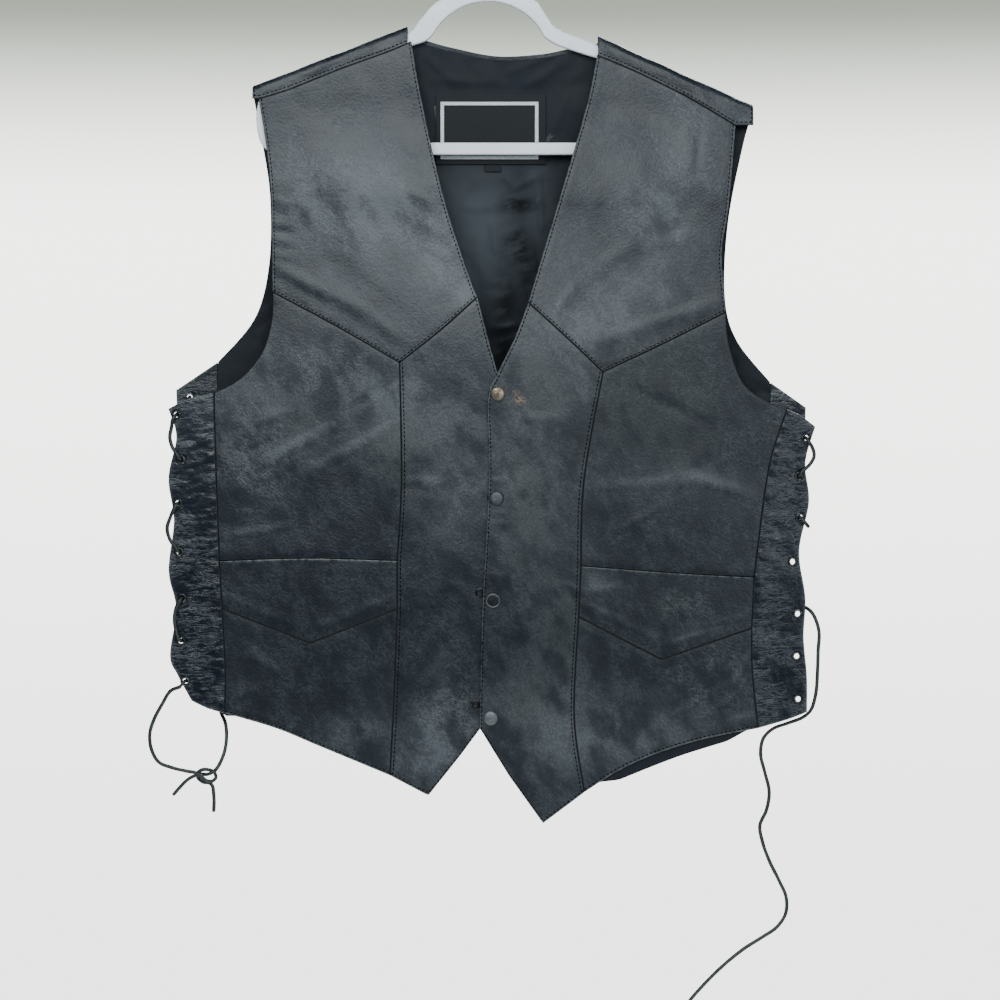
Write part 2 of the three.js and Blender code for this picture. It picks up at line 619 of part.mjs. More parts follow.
// The hanger: arms, bar and centre arch in one outline, and a round hook on top
function hanger() {
  const { depth, bevel, arm, under } = HANGER;
  const left = (x, drop = 0) => [x, lineAt(BACK.foldLeft, x) - under - drop];
  const right = (x, drop = 0) => [x, lineAt(BACK.foldRight, x) - under - drop];
  const go = (shape, points) => shape.splineThru(points.map(([x, z]) => new THREE.Vector2(x, z)));
  const onArch = (z, r, a) => [ARCH.x + r * Math.cos(a), z + r * Math.sin(a)];
  const outline = new THREE.Shape();
  outline.moveTo(-186, BAR.bottom);
  outline.lineTo(188, BAR.bottom);
  go(outline, [[197, -213], [202, -200], [202.5, -184], right(197, 4), right(186)]);
  outline.lineTo(...right(122));
  go(outline, [[93.3, -123.8], [75.8, -116.8], [57.5, -109.2], [48.3, -97.6], onArch(ARCH.outerZ, ARCH.outer, 0.822)]);
  outline.absarc(ARCH.x, ARCH.outerZ, ARCH.outer, 0.822, 2.2, false);
  go(outline, [[-49.2, -88.5], [-60.5, -101.5], [-70, -113], [-86, -117.6], left(-108)]);
  outline.lineTo(...left(-184));
  go(outline, [left(-196, 4), [-201.5, -181], [-200, -202], [-194, -213], [-186, BAR.bottom]]);
  const hole = new THREE.Path();
  hole.moveTo(-182, BAR.top);
  go(hole, [[-189, -205], [-190, -190], left(-184, arm + 4), left(-172, arm)]);
  hole.lineTo(...left(-108, arm));
  go(hole, [[-86, -129.8], [-66.5, -123.5], [-54.9, -119.3], onArch(ARCH.innerZ, ARCH.inner, Math.PI - 0.5)]);
  hole.absarc(ARCH.x, ARCH.innerZ, ARCH.inner, Math.PI - 0.5, 0.45, true);
  go(hole, [[52, -120], [61.4, -124.6], [88.6, -133.5], right(122, arm)]);
  hole.lineTo(...right(174, arm));
  go(hole, [right(186, arm + 5), [191, -197], [184, BAR.top]]);
  hole.lineTo(-182, BAR.top);
  outline.holes.push(hole);
  const plate = new THREE.ExtrudeGeometry(outline, {
    depth: depth - 2 * bevel,
    bevelThickness: bevel,
    bevelSize: bevel,
    bevelOffset: -bevel,
    bevelSegments: 1,
    curveSegments: 3,
  });
  plate.rotateX(Math.PI / 2);
  plate.translate(0, (depth - 2 * bevel) / 2, 0);
  const r = HOOK.inner + HOOK.wire;
  const route = [[ARCH.x, -76.5], [ARCH.x - 1, -58], [-9, -46], [-18, -36]];
  for (let a = 165; a >= -30; a -= 19.5) {
    const angle = (a * Math.PI) / 180;
    route.push([r * Math.cos(angle), -HOOK.inner + r * Math.sin(angle)]);
  }
  const hook = cord(route.map(([x, z]) => new THREE.Vector3(x, 0, z)), 1, HOOK.wire, 10);
  return geometryOf(solidOf(plate).add(solidOf(hook)));
}

add('hanger', hanger(), 0xe0e2e8, 0.35);

// A lace's way through an eyelet, from the outside in or from the inside out
const LACE_HEIGHT = LAYER_GAP + EYELET.lip + 3;

function through({ point, normal }, outside, heading) {
  const lie = new THREE.Vector3(heading[0], 0, heading[1]);
  lie.addScaledVector(normal, -lie.dot(normal)).normalize();
  const at = (height, away) => point.clone().addScaledVector(normal, height).addScaledVector(lie, away);
  const points = [at(-LEATHER - 1.6, 0), at(0, 0), at(LACE_HEIGHT - 2.6, 0.3), at(LACE_HEIGHT - 0.7, 1.6), at(LACE_HEIGHT, 4.4)];
  return outside === 'ends outside' ? points : points.reverse();
}

const heading = (from, to) => {
  const d = new THREE.Vector2(to[0] - from[0], to[1] - from[1]).normalize();
  return [d.x, d.y];
};

// Rows of a lacing: the eyelet, the strip, and where the lace heads outside
function lacing(side, passes) {
  const faces = { front: side === 'left' ? leftFace : rightFace, back: backFace };
  const points = [];
  for (const pass of passes) {
    if (pass.via) {
      pass.via.forEach((p) => points.push(new THREE.Vector3(...p)));
      continue;
    }
    const place = seat(faces[pass.strip], EYELETS[side][pass.strip][pass.hole - 1]);
    points.push(...through(place, pass.out ? 'ends outside' : 'starts outside', pass.to));
  }
  return points;
}

const inFront = (hole, out, to) => ({ strip: 'front', hole, out, to });
const inBack = (hole, out, to) => ({ strip: 'back', hole, out, to });

// A point that lies on the cloth, with the lace's own radius and a small gap between
const LIE = LACE_RADIUS + 0.8;
const lyingOn = (face, xz) => xz.map(([x, z]) => onFace(face, x, z, -LIE).toArray());

const [OUTWARD_UP, OUTWARD_DOWN, UP, DOWN] = [[-0.5, 0.86], [-0.5, -0.86], [0, 1], [0, -1]];
const LEFT_LOOPS = { 5: [[-275, -612], [-278.5, -619], [-274.5, -626]], 3: [[-277, -532], [-279.6, -540], [-276.5, -548]], 1: [[-276, -455], [-279.6, -462], [-274.5, -469.5]] };
const LEFT_RUN = [[-250, -448], [-244, -490], [-243, -550], [-240, -620], [-236, -670], [-233.4, -698]];

function leftLacing() {
  const passes = [inFront(7, false, [-0.65, -0.76])];
  for (const upper of [5, 3, 1]) {
    const lower = upper + 1;
    passes.push(inBack(lower + 1, true, UP));
    passes.push({ via: lyingOn(backFace, [[-257.5, (EYELETS.left.back[lower][1] + EYELETS.left.back[lower - 1][1]) / 2]]) });
    passes.push(inBack(lower, false, DOWN));
    passes.push(inFront(lower, true, OUTWARD_UP));
    passes.push({ via: lyingOn(leftFace, LEFT_LOOPS[upper]).reverse() });
    passes.push(inFront(upper, false, OUTWARD_DOWN));
  }
  passes.push(inBack(1, true, [0.4, -0.9]));
  passes.push({ via: lyingOn(backFace, LEFT_RUN) });
  return lacing('left', passes);
}

const RIGHT_LOOP = [[275.5, -485], [279, -478], [277.5, -471]];
const RIGHT_RUN = [[257, -480], [250, -520], [247, -550]];

function rightLacing() {
  return lacing('right', [
    { via: lyingOn(rightFace, [[274.5, -539.5]]) },
    inFront(3, false, [0.63, -0.78]),
    inBack(3, true, UP),
    { via: lyingOn(backFace, [[263, -509]]) },
    inBack(2, false, DOWN),
    inFront(2, true, [0.5, 0.86]),
    { via: lyingOn(rightFace, RIGHT_LOOP) },
    inFront(1, false, [0.5, -0.86]),
    inBack(1, true, [-0.4, -0.9]),
    { via: lyingOn(backFace, RIGHT_RUN) },
    inBack(4, false, UP),
    { via: [[250.8, backFace(251, -592) - LEATHER - LIE, -592]] },
    inBack(5, true, [1, 0.1]),
  ]);
}

const leftRoute = leftLacing();
const rightRoute = rightLacing();
add('left_lacing', cord(leftRoute, 1), ...LACE);
add('right_lacing', cord(rightRoute, 1), ...LACE);

// The free ends at the left meet in a knot with two short tails
const TIE_FRONT = [[-274.9, -11, -680.2], [-282.3, -9.5, -691.6], [-289.6, -8, -705.2], [-293.4, -6, -718], [-290.6, -4, -735.5],
  [-285.3, -3, -742.7], [-274.9, -2, -746.9], [-264.5, -1, -749.8], [-250, 0, -753]];
const TIE_BACK = [[-229.6, 10, -708], [-228.1, 8, -717.7], [-229.1, 5, -730.2], [-232, 2, -740.5], [-240, 0, -752]];
const KNOT = { x: -244.2, y: 0, z: -754.2, width: 17, height: 12.5, depth: 9 };
const TAILS = [
  [[-248, 0, -754.5], [-255, 0.5, -755], [-261.4, 1, -757.3], [-267.6, 1.5, -762.6], [-273.7, 2, -770.9]],
  [[-241, 0, -757], [-238.9, -0.5, -762], [-238.5, -1, -772], [-238.7, -1, -785.4]],
];
const vectors = (rows) => rows.map((row) => new THREE.Vector3(...row));

function startAfter(route) {
  const end = route[route.length - 1];
  const away = end.clone().sub(route[route.length - 2]).normalize();
  return [LAYER_GAP, LACE_RADIUS + LAYER_GAP].map((d) => end.clone().addScaledVector(away, d));
}

function tie() {
  const knot = mergeVertices(bare(new THREE.SphereGeometry(0.5, 12, 8)), 1e-4);
  knot.scale(KNOT.width, KNOT.depth, KNOT.height);
  knot.translate(KNOT.x, KNOT.y, KNOT.z);
  const ends = [
    [...startAfter(leftRoute.slice().reverse()), ...vectors(TIE_FRONT)],
    [...startAfter(leftRoute), ...vectors(TIE_BACK)],
    ...TAILS.map(vectors),
  ];
  return geometryOf(ends.reduce((solid, points) => solid.add(solidOf(cord(points, 1))), solidOf(dropFlat(knot))));
}

add('left_tie', tie(), ...LACE);

// The long free end at the right hangs from the fifth back eyelet
const TAIL = [
  [264.5, 13, -608], [271.2, 11, -608.3], [278.6, 7, -613.5], [284.3, 4, -629], [283.5, 2, -646.5], [283, 1, -661.4],
  [281.2, 0, -684], [276.7, 0, -697.9], [269.5, 0, -704], [256.9, 0, -708.8], [244.1, 0, -713.7], [236, 0, -722],
  [233.7, 0, -735.7], [237.1, -1, -750.5], [241, -1, -768], [238.7, -1, -783.5], [233, -1, -797], [235.2, -1, -811],
  [241.2, -2, -827.8], [249.4, -2, -844.3], [255.6, -2, -859.1], [255, -3, -873], [247.5, -3, -884.5], [235, -4, -893],
  [219, -5, -903], [202, -6, -916.5], [186, -6, -932], [171, -6, -949], [158, -6, -967], [148, -6, -986],
];
add('right_lace_tail', cord([...startAfter(rightRoute), ...vectors(TAIL)], 2), ...LACE);

export default vest;
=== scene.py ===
"""A black leather vest with laced sides on a white plastic hanger."""

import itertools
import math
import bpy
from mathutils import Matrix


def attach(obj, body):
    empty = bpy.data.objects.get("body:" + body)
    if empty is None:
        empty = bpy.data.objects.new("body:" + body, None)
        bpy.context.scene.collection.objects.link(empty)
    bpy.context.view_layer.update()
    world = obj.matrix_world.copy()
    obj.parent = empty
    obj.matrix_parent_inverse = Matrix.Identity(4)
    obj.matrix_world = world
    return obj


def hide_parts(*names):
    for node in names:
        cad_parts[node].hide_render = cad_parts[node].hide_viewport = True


bl_info = {
    "name": "Leather Vest on a Hanger",
    "version": (1, 0, 0),
    "blender": (4, 5, 0),
    "location": "View3D > Sidebar > Vest",
    "description": "Builds a leather vest with laced sides, snaps and a hanger",
    "category": "Add Mesh",
}

import bmesh
import bpy
import numpy as np
from mathutils import Vector

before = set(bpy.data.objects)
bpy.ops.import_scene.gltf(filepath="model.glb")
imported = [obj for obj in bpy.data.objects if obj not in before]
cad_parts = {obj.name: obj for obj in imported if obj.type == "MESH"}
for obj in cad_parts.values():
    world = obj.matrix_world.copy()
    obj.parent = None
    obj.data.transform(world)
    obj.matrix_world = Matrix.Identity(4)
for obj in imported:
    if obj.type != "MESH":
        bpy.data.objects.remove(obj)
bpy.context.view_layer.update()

# Sizes are in millimetres on the vest; a piece is scaled to metres when its mesh is made
MM = 0.001
BODY = "root"
LEATHER = 1.5
LINING = 0.8
LAYER_GAP = 0.35
MID_X = 2.0
HALF_WIDTH = 280.0
FOLD_RADIUS = 6.5
LAP_LIFT = 3.8
LAP_FULL_X = 20.0
LAP_END_X = 110.0
LACE_RADIUS = 1.6
EYELET_FLANGE = 4.3
EYELET_LIP = 1.0
CAP_RADIUS = 6.25
STUD_RADIUS = 4.4
FACING_DEPTH = 13.5
BACK_LENGTH = 640.0
# Cell of the lace strips, and the back's cell as a share of the fronts'
STRIP_CELL = 1.5
BACK_CELL_SHARE = 1.15
# How strong the back's painted sheen and dry places are beside the fronts'
BACK_SHEEN_AND_DRY_SHARE = 0.7
# Turned and sewn edges: distance of the back's stitches from the edge, and their trim at the ends
BACK_STITCH_INSET = 2.2
BACK_STITCH_TRIM = 3
SHOULDER_STITCH_INSET = 2.6
LACE_STEP = 1.3
HOOK_STEP = 1.2

# Depth of the side, and of the front and back bulge, at heights down the vest
DEPTHS = {
    "z": [-90, -170, -260, -400, -560, -700, -820],
    "side": [6.5, 6.5, 7, 8, 8, 8, 8],
    "front": [0, 4, 14, 24, 22, 15, 11],
    "back": [0, 3, 8, 13, 12, 9, 8],
}

# Soft folds: x0, z0, x1, z1 of the fold's line, its width and its height
MAIN_FRONT_FOLDS = [
    (-150, -185, -95, -330, 26, 1.2),
    (-70, -170, -60, -300, 16, -0.5),
    (-185, -260, -120, -340, 18, -0.35),
    (-215, -430, -130, -520, 22, 0.8),
    (-70, -700, -25, -640, 14, 2.2),
    (-72, -640, -30, -600, 14, -1.0),
    (105, -170, 150, -330, 28, 1.1),
    (185, -240, 120, -330, 18, -0.7),
    (215, -450, 130, -540, 24, 0.7),
    (20, -560, 60, -660, 18, 0.6),
    (100, -660, 200, -700, 18, -0.6),
]
MAIN_BACK_FOLDS = [
    (-120, -200, -30, -420, 30, 3.0),
    (130, -210, 40, -460, 30, 2.6),
    (-170, -450, -60, -640, 26, -2.2),
    (170, -470, 90, -660, 26, -2.4),
    (4, -262, 12, -400, 28, -2.0),
]


def smooth(t):
    """An S-shaped step from 0 to 1."""
    c = np.clip(t, 0.0, 1.0)
    return c * c * (3 - 2 * c)


def depth_at(key, z):
    """A depth from the table at the heights z, eased from row to row."""
    heights = np.array(DEPTHS["z"], float)
    values = np.array(DEPTHS[key], float)
    z = np.clip(np.asarray(z, float), heights[-1], heights[0])
    row = np.clip(np.searchsorted(-heights, -z, side="right") - 1, 0, len(heights) - 2)
    part = (z - heights[row]) / (heights[row + 1] - heights[row])
    return values[row] + (values[row + 1] - values[row]) * smooth(part)


def fold_height(folds, x, z):
    """The sum of the folds' heights at x, z; each fades out along and across its line."""
    total = np.zeros(np.broadcast(x, z).shape)
    for x0, z0, x1, z1, width, height in folds:
        dx, dz = x1 - x0, z1 - z0
        along = np.clip(((x - x0) * dx + (z - z0) * dz) / (dx * dx + dz * dz), 0, 1)
        away = np.hypot(x - x0 - along * dx, z - z0 - along * dz) / width
        shape = np.clip(1 - away * away, 0, None) ** 2
        total = total + height * shape * np.sin(math.pi * (0.15 + 0.7 * along))
    return total


def bulge(x):
    u = np.minimum(1, np.abs(np.asarray(x, float) - MID_X) / HALF_WIDTH)
    return np.cos(u * math.pi / 2) ** 1.3


def front_face(x, z, lift=0.0):
    """y of the front cloth's outer face."""
    depth = depth_at("side", z) + depth_at("front", z) * bulge(x)
    lap = lift * (1 - smooth((x - LAP_FULL_X) / (LAP_END_X - LAP_FULL_X))) * smooth((-120 - z) / 60)
    return -(depth + fold_height(MAIN_FRONT_FOLDS, x, z) * smooth((-130 - z) / 40) + lap)


def left_face(x, z):
    return front_face(np.asarray(x, float), np.asarray(z, float))


def right_face(x, z):
    return front_face(np.asarray(x, float), np.asarray(z, float), LAP_LIFT)


def back_face(x, z):
    x, z = np.asarray(x, float), np.asarray(z, float)
    depth = depth_at("side", z) + depth_at("back", z) * bulge(x)
    return depth + fold_height(MAIN_BACK_FOLDS, x, z) * smooth((-130 - z) / 40)


FACES = {"left": left_face, "right": right_face, "back": back_face}


def lattice_noise(x, z, size_x, size_z, seed, turn=0.0):
    """Soft noise from -1 to 1 with cells of the given size, turned by an angle."""
    c, s = math.cos(turn), math.sin(turn)
    u = (x * c + z * s) / size_x + 1000.0
    v = (z * c - x * s) / size_z + 1000.0
    i, j = np.floor(u).astype(int), np.floor(v).astype(int)
    fu, fv = smooth(u - i), smooth(v - j)
    values = np.random.RandomState(seed).uniform(-1, 1, (256, 256))

    def at(a, b):
        return values[a % 256, b % 256]

    low = at(i, j) * (1 - fu) + at(i + 1, j) * fu
    high = at(i, j + 1) * (1 - fu) + at(i + 1, j + 1) * fu
    return low * (1 - fv) + high * fv


def crinkle(x, z, size_x, size_z, seed, turn=0.0):
    """Noise with sharp valleys and round backs, like creased leather; 0 to 1."""
    first = 1 - np.abs(lattice_noise(x, z, size_x, size_z, seed, turn))
    second = 1 - np.abs(lattice_noise(x, z, size_x * 0.46, size_z * 0.46, seed + 1, turn + 0.5))
    return 1 - (0.68 * first**3 + 0.32 * second**3)


# Seams and edges
LEFT = {
    "shoulder": [(-199.3, -170), (-172.2, -161.6), (-129.4, -144.5), (-86.6, -128.8), (-68, -120.6)],
    "arm_upper": [(-199.3, -170), (-193.2, -207.5), (-188.9, -247), (-187.6, -290), (-187.1, -337)],
    "neck": [(-68, -120.6), (-59, -172.3), (-39.4, -258), (-17, -326.8), (-10.8, -342)],
    "yoke_outer": [(-187.1, -337), (-133, -366), (-77.4, -398.2)],
    "yoke_inner": [(-77.4, -398.2), (-43, -371), (-10.8, -342)],
    "front_edge": [(-10.8, -342), (-0.6, -381.7), (5.9, -405.7), (8.6, -417), (5.2, -499), (0.9, -602),
                   (-2.6, -704.3)],
    "centre_upper": [(-77.4, -398.2), (-75.8, -498.8), (-79.6, -568.5)],
    "centre_mid": [(-79.6, -568.5), (-79.6, -609.6)],
    "centre_lower": [(-79.6, -609.6), (-82.5, -688), (-86, -752.5)],
    "arm_lower": [(-187.1, -337), (-188, -361.2), (-196.1, -388.7), (-215, -411.5), (-237.8, -424)],
    "strip_upper": [(-237.8, -424), (-236, -490), (-233.2, -569)],
    "strip_mid": [(-233.2, -569), (-230.9, -609.6)],
    "strip_lower": [(-230.9, -609.6), (-228, -665), (-228.5, -699.4)],
    "opening": [(-233.2, -569), (-157, -566.5), (-79.6, -568.5)],
    "pocket_point": [(-230.9, -609.6), (-154.7, -639.1), (-79.6, -609.6)],
    "hem_side": [(-228.5, -699.4), (-184.1, -712.3), (-146.3, -727.7), (-86, -752.5)],
    "hem_centre": [(-86, -752.5), (-53, -769.8), (-26, -736), (-2.6, -704.3)],
    "strip_top": [(-237.8, -424), (-258, -428.2), (-277.2, -437.4)],
    "strip_hem": [(-228.5, -699.4), (-242.6, -695.7), (-257, -689)],
    "strip_edge": [(-277.2, -437.4), (-270.3, -461.5), (-277, -497), (-272.4, -533.5), (-276.9, -577),
                   (-270.5, -610), (-275.7, -650), (-268.7, -667.7), (-257, -689)],
}
RIGHT = {
    "shoulder": [(211.5, -193), (170.1, -168.7), (127.3, -147.3), (92.3, -132.5)],
    "arm_upper": [(211.5, -193), (208.6, -229.4), (204.9, -266.8), (199.5, -305), (203, -354.3)],
    "neck": [(92.3, -132.5), (83.9, -174.6), (59.7, -258), (38.9, -326.8), (32.9, -346.7)],
    "yoke_outer": [(203, -354.3), (150, -381), (96.9, -406.3)],
    "yoke_inner": [(96.9, -406.3), (66, -377), (32.9, -346.7)],
    "front_edge": [(32.9, -346.7), (22, -376), (6.5, -408), (-1.4, -430), (-0.6, -498.8), (-6.3, -612.1),
                   (-8.5, -712.1)],
    "centre_upper": [(96.9, -406.3), (80.6, -498.8), (78, -573)],
    "centre_mid": [(78, -573), (76, -616)],
    "centre_lower": [(76, -616), (72.2, -700.9), (81.1, -767)],
    "arm_lower": [(203, -354.3), (204.9, -378.7), (216, -412.2), (234, -429), (255.9, -437.9)],
    "strip_upper": [(255.9, -437.9), (241.8, -480.9), (233.5, -533.2), (227.5, -583)],
    "strip_mid": [(227.5, -583), (225.3, -626.4)],
    "strip_lower": [(225.3, -626.4), (226, -665), (230.9, -712.4)],
    "opening": [(227.5, -583), (156.8, -579), (78, -573)],
    "pocket_point": [(225.3, -626.4), (147.1, -653), (76, -616)],
    "hem_side": [(230.9, -712.4), (183.6, -721.7), (142.5, -734.1), (109.6, -748.9), (81.1, -767)],
    "hem_centre": [(81.1, -767), (45.6, -793.5), (16, -752), (-8.5, -712.1)],
    "strip_top": [(255.9, -437.9), (268, -443.5), (280.3, -452.8)],
    "strip_hem": [(230.9, -712.4), (255.9, -705.2), (273.1, -698.6)],
    "strip_edge": [(280.3, -452.8), (271.7, -484), (274.8, -517.7), (266.4, -560), (271.7, -600.2),
                   (270.2, -634), (273, -668), (273.1, -698.6)],
}
CORNERED = {"pocket_point", "hem_centre"}


def spline(points, count):
    """Points along a smooth line through the given ones, evenly spaced."""
    p = np.array(points, float)
    pad = np.vstack([p[:1], p, p[-1:]])
    fine = []
    for i in range(len(p) - 1):
        a, b, c, d = pad[i], pad[i + 1], pad[i + 2], pad[i + 3]
        t = np.linspace(0, 1, 24, endpoint=False)[:, None]
        m0, m1 = (c - a) * 0.5, (d - b) * 0.5
        fine.append((2 * t**3 - 3 * t**2 + 1) * b + (t**3 - 2 * t**2 + t) * m0
                    + (3 * t**2 - 2 * t**3) * c + (t**3 - t**2) * m1)
    fine = np.vstack(fine + [p[-1:]])
    return evenly(fine, count)


def evenly(line, count):
    run = np.concatenate([[0], np.cumsum(np.linalg.norm(np.diff(line, axis=0), axis=1))])
    at = np.linspace(0, run[-1], count)
    return np.stack([np.interp(at, run, line[:, k]) for k in range(line.shape[1])], axis=1)


def length_of(line):
    return float(np.linalg.norm(np.diff(line, axis=0), axis=1).sum())


def seams_of(table):
    lines = {}
    for key, points in table.items():
        if key in CORNERED:
            p = np.array(points, float)
            lines[key] = np.vstack([np.linspace(p[i], p[i + 1], 30)[:-1] for i in range(len(p) - 1)]
                                   + [p[-1:]])
        else:
            lines[key] = spline(points, 160)
    return lines


class Border:
    """The side of a panel: one seam or several in a row, each with its number of cells."""

    def __init__(self, *parts):
        total = sum(cells for _, cells in parts)
        points, share, done = [], [], 0
        for line, cells in parts:
            run = np.concatenate([[0], np.cumsum(np.linalg.norm(np.diff(line, axis=0), axis=1))])
            points.append(line)
            share.append((done + cells * run / run[-1]) / total)
            done += cells
        self.points = np.vstack(points)
        self.share = np.concatenate(share) + np.arange(len(self.points)) * 1e-12
        self.length = sum(length_of(line) for line, _ in parts)

    def __call__(self, t):
        return np.stack([np.interp(t, self.share, self.points[:, k]) for k in range(2)], axis=-1)

    def reverse(self):
        other = Border.__new__(Border)
        other.points, other.length = self.points[::-1], self.length
        other.share = 1 - self.share[::-1]
        return other


NEAR_EDGE = (0.0, 0.22, 0.6, 1.2, 2.0, 3.0)


def graded(length, step):
    """Shares of a length, close together near both ends."""
    near = [d for d in NEAR_EDGE if d < length / 4]
    inner = length - 2 * near[-1]
    count = max(2, round(inner / step))
    middle = near[-1] + np.linspace(0, inner, count + 1)[1:-1]
    return np.concatenate([near, middle, length - np.array(near[::-1])]) / length


def coons(top, bottom, left, right, u, v):
    """Points in x, z between four borders, rows by v and columns by u."""
    t, b, l, r = top(u)[None], bottom(u)[None], left(v)[:, None], right(v)[:, None]
    uu, vv = u[None, :, None], v[:, None, None]
    ends = (t[:, :1] * (1 - uu) + t[:, -1:] * uu) * (1 - vv) + (b[:, :1] * (1 - uu) + b[:, -1:] * uu) * vv
    return t * (1 - vv) + b * vv + l * (1 - uu) + r * uu - ends


def drawn_in(grid, gap):
    """Draws a grid's rim in by half a seam gap."""
    out = grid.copy()

    def step(a, b):
        d = b - a
        return d / np.maximum(np.linalg.norm(d, axis=-1, keepdims=True), 1e-9) * gap / 2

    out[0] += step(grid[0], grid[1])
    out[-1] += step(grid[-1], grid[-2])
    out[:, 0] += step(grid[:, 0], grid[:, 1])
    out[:, -1] += step(grid[:, -1], grid[:, -2])
    return out


def runs(grid):
    """Distances of each point from the four sides, along its row and column."""
    down = np.concatenate([np.zeros((1,) + grid.shape[1:2]),
                           np.cumsum(np.linalg.norm(np.diff(grid, axis=0), axis=-1), axis=0)])
    over = np.concatenate([np.zeros(grid.shape[:1] + (1,)),
                           np.cumsum(np.linalg.norm(np.diff(grid, axis=1), axis=-1), axis=1)], axis=1)
    return {"top": down, "bottom": down[-1:] - down, "left": over, "right": over[:, -1:] - over}, down, over


def normals_of(points, outward):
    """Unit normals of a grid of points, turned to the side that outward gives in y."""
    n = np.cross(np.gradient(points, axis=1), np.gradient(points, axis=0))
    n /= np.maximum(np.linalg.norm(n, axis=-1, keepdims=True), 1e-12)
    return n * np.sign(np.nanmedian(n[..., 1]) * outward)


class Edge:
    """How a panel's side is sewn: its roll, its dip, the insets of its rows of stitches, and the shade painted in
    its groove.
    """

    def __init__(self, roll=0.8, dip=0.0, rows=(2.4,), pucker=0.3, worn=1.0, swell=0.3, wave=3.6, reach=6.5,
                 groove_shade=0.0):
        self.roll, self.dip, self.rows = roll, dip, rows
        self.pucker, self.worn, self.swell = pucker, worn, swell
        self.wave, self.reach, self.groove_shade = wave, reach, groove_shade

    def wear(self, d):
        """How pale with wear (above 0), or darkened by painted shade in the seam groove (below 0), the leather is
        at distances d from this side.
        """
        return self.worn * np.exp(-d / 0.9) - self.groove_shade * np.exp(-((d / 0.85) ** 2))


FREE = Edge(roll=0.7, rows=(2.6,), pucker=0.22, worn=0.9, swell=0.12)
NECK = Edge(roll=0.7, rows=(2.6,), pucker=0.85, worn=0.9, swell=0.12, wave=4.6, reach=12.0)
# groove_shade paints shade into the seam grooves and the pocket slit
SEWN = Edge(roll=0.8, dip=0.2, rows=(), pucker=0.14, worn=0.2, swell=0.08, groove_shade=1.7)
LAPPED = Edge(roll=0.8, dip=0.05, rows=(2.8,), pucker=0.25, worn=0.1, swell=0.1, groove_shade=1.6)
CENTRE = Edge(roll=0.8, dip=0.1, rows=(3.5,), pucker=0.45, worn=0.1, swell=0.1, wave=4.2, reach=9.0,
              groove_shade=1.6)
CHEVRON = Edge(roll=0.8, dip=0.1, rows=(), pucker=0.08, worn=0.0, swell=0.05, groove_shade=1.9)
OPENING = Edge(roll=1.3, dip=1.3, rows=(), pucker=0.05, worn=0.0, swell=0.0, groove_shade=2.4)
POCKET_TOP = Edge(roll=0.35, dip=-0.35, rows=(), pucker=0.05, worn=1.4, swell=0.0)
POCKET_SEWN = Edge(roll=0.35, dip=-0.35, rows=(), pucker=0.08, worn=0.8, swell=0.0)
FREE_BARE = Edge(roll=0.7, rows=(), pucker=0.15, worn=1.0, swell=0.1)
STRIP_SEAM = Edge(roll=0.8, dip=0.15, rows=(), pucker=0.7, worn=0.2, swell=0.12, wave=3.0, reach=12.0,
                  groove_shade=1.7)
NECK_RIM = Edge(roll=0.7, rows=(2.2,), pucker=0.3, worn=0.6, swell=0.2)


def edge_relief(distances, alongs, edges, seed):
    """The height that sewing gives a panel's outer face: rolls, dips, stitch lines and puckers."""
    height = np.zeros(distances["top"].shape)
    for number, (side, edge) in enumerate(edges.items()):
        d, along = distances[side], alongs[side]
        inside = np.clip(1 - d / edge.roll, 0, 1)
        height -= edge.roll * (1 - np.sqrt(np.clip(1 - inside**2, 0, 1)))
        height -= edge.dip * np.exp(-d / 1.8)
        for inset in edge.rows:
            height -= 0.12 * np.exp(-(((d - inset) / 0.75) ** 2))
        reach = max(edge.rows) if edge.rows else 2.0
        height += edge.swell * np.exp(-(((d - reach - 3.2) / 2.6) ** 2))
        wave = lattice_noise(along, d, edge.wave, 16, seed + 31 * number)
        wave = wave + 0.6 * lattice_noise(along, d, 2 * edge.wave, 24, seed + 31 * number + 7)
        fade = 0.45 + 0.55 * lattice_noise(along, 0 * d, 45, 24, seed + 31 * number + 9)
        height += edge.pucker * fade * wave * np.exp(-(((d - reach) / edge.reach) ** 2)) * smooth(d / 1.0)
    return height


def base_relief(x, z, seed):
    """Soft unevenness of hanging leather."""
    return (0.6 * lattice_noise(x, z, 46, 60, seed, 0.4) + 0.26 * lattice_noise(x, z, 19, 25, seed + 1, 0.5)
            + 0.1 * lattice_noise(x, z, 9, 12, seed + 2, 0.6) + 0.05
            * lattice_noise(x, z, 5.5, 6.5, seed + 3, 0.2))


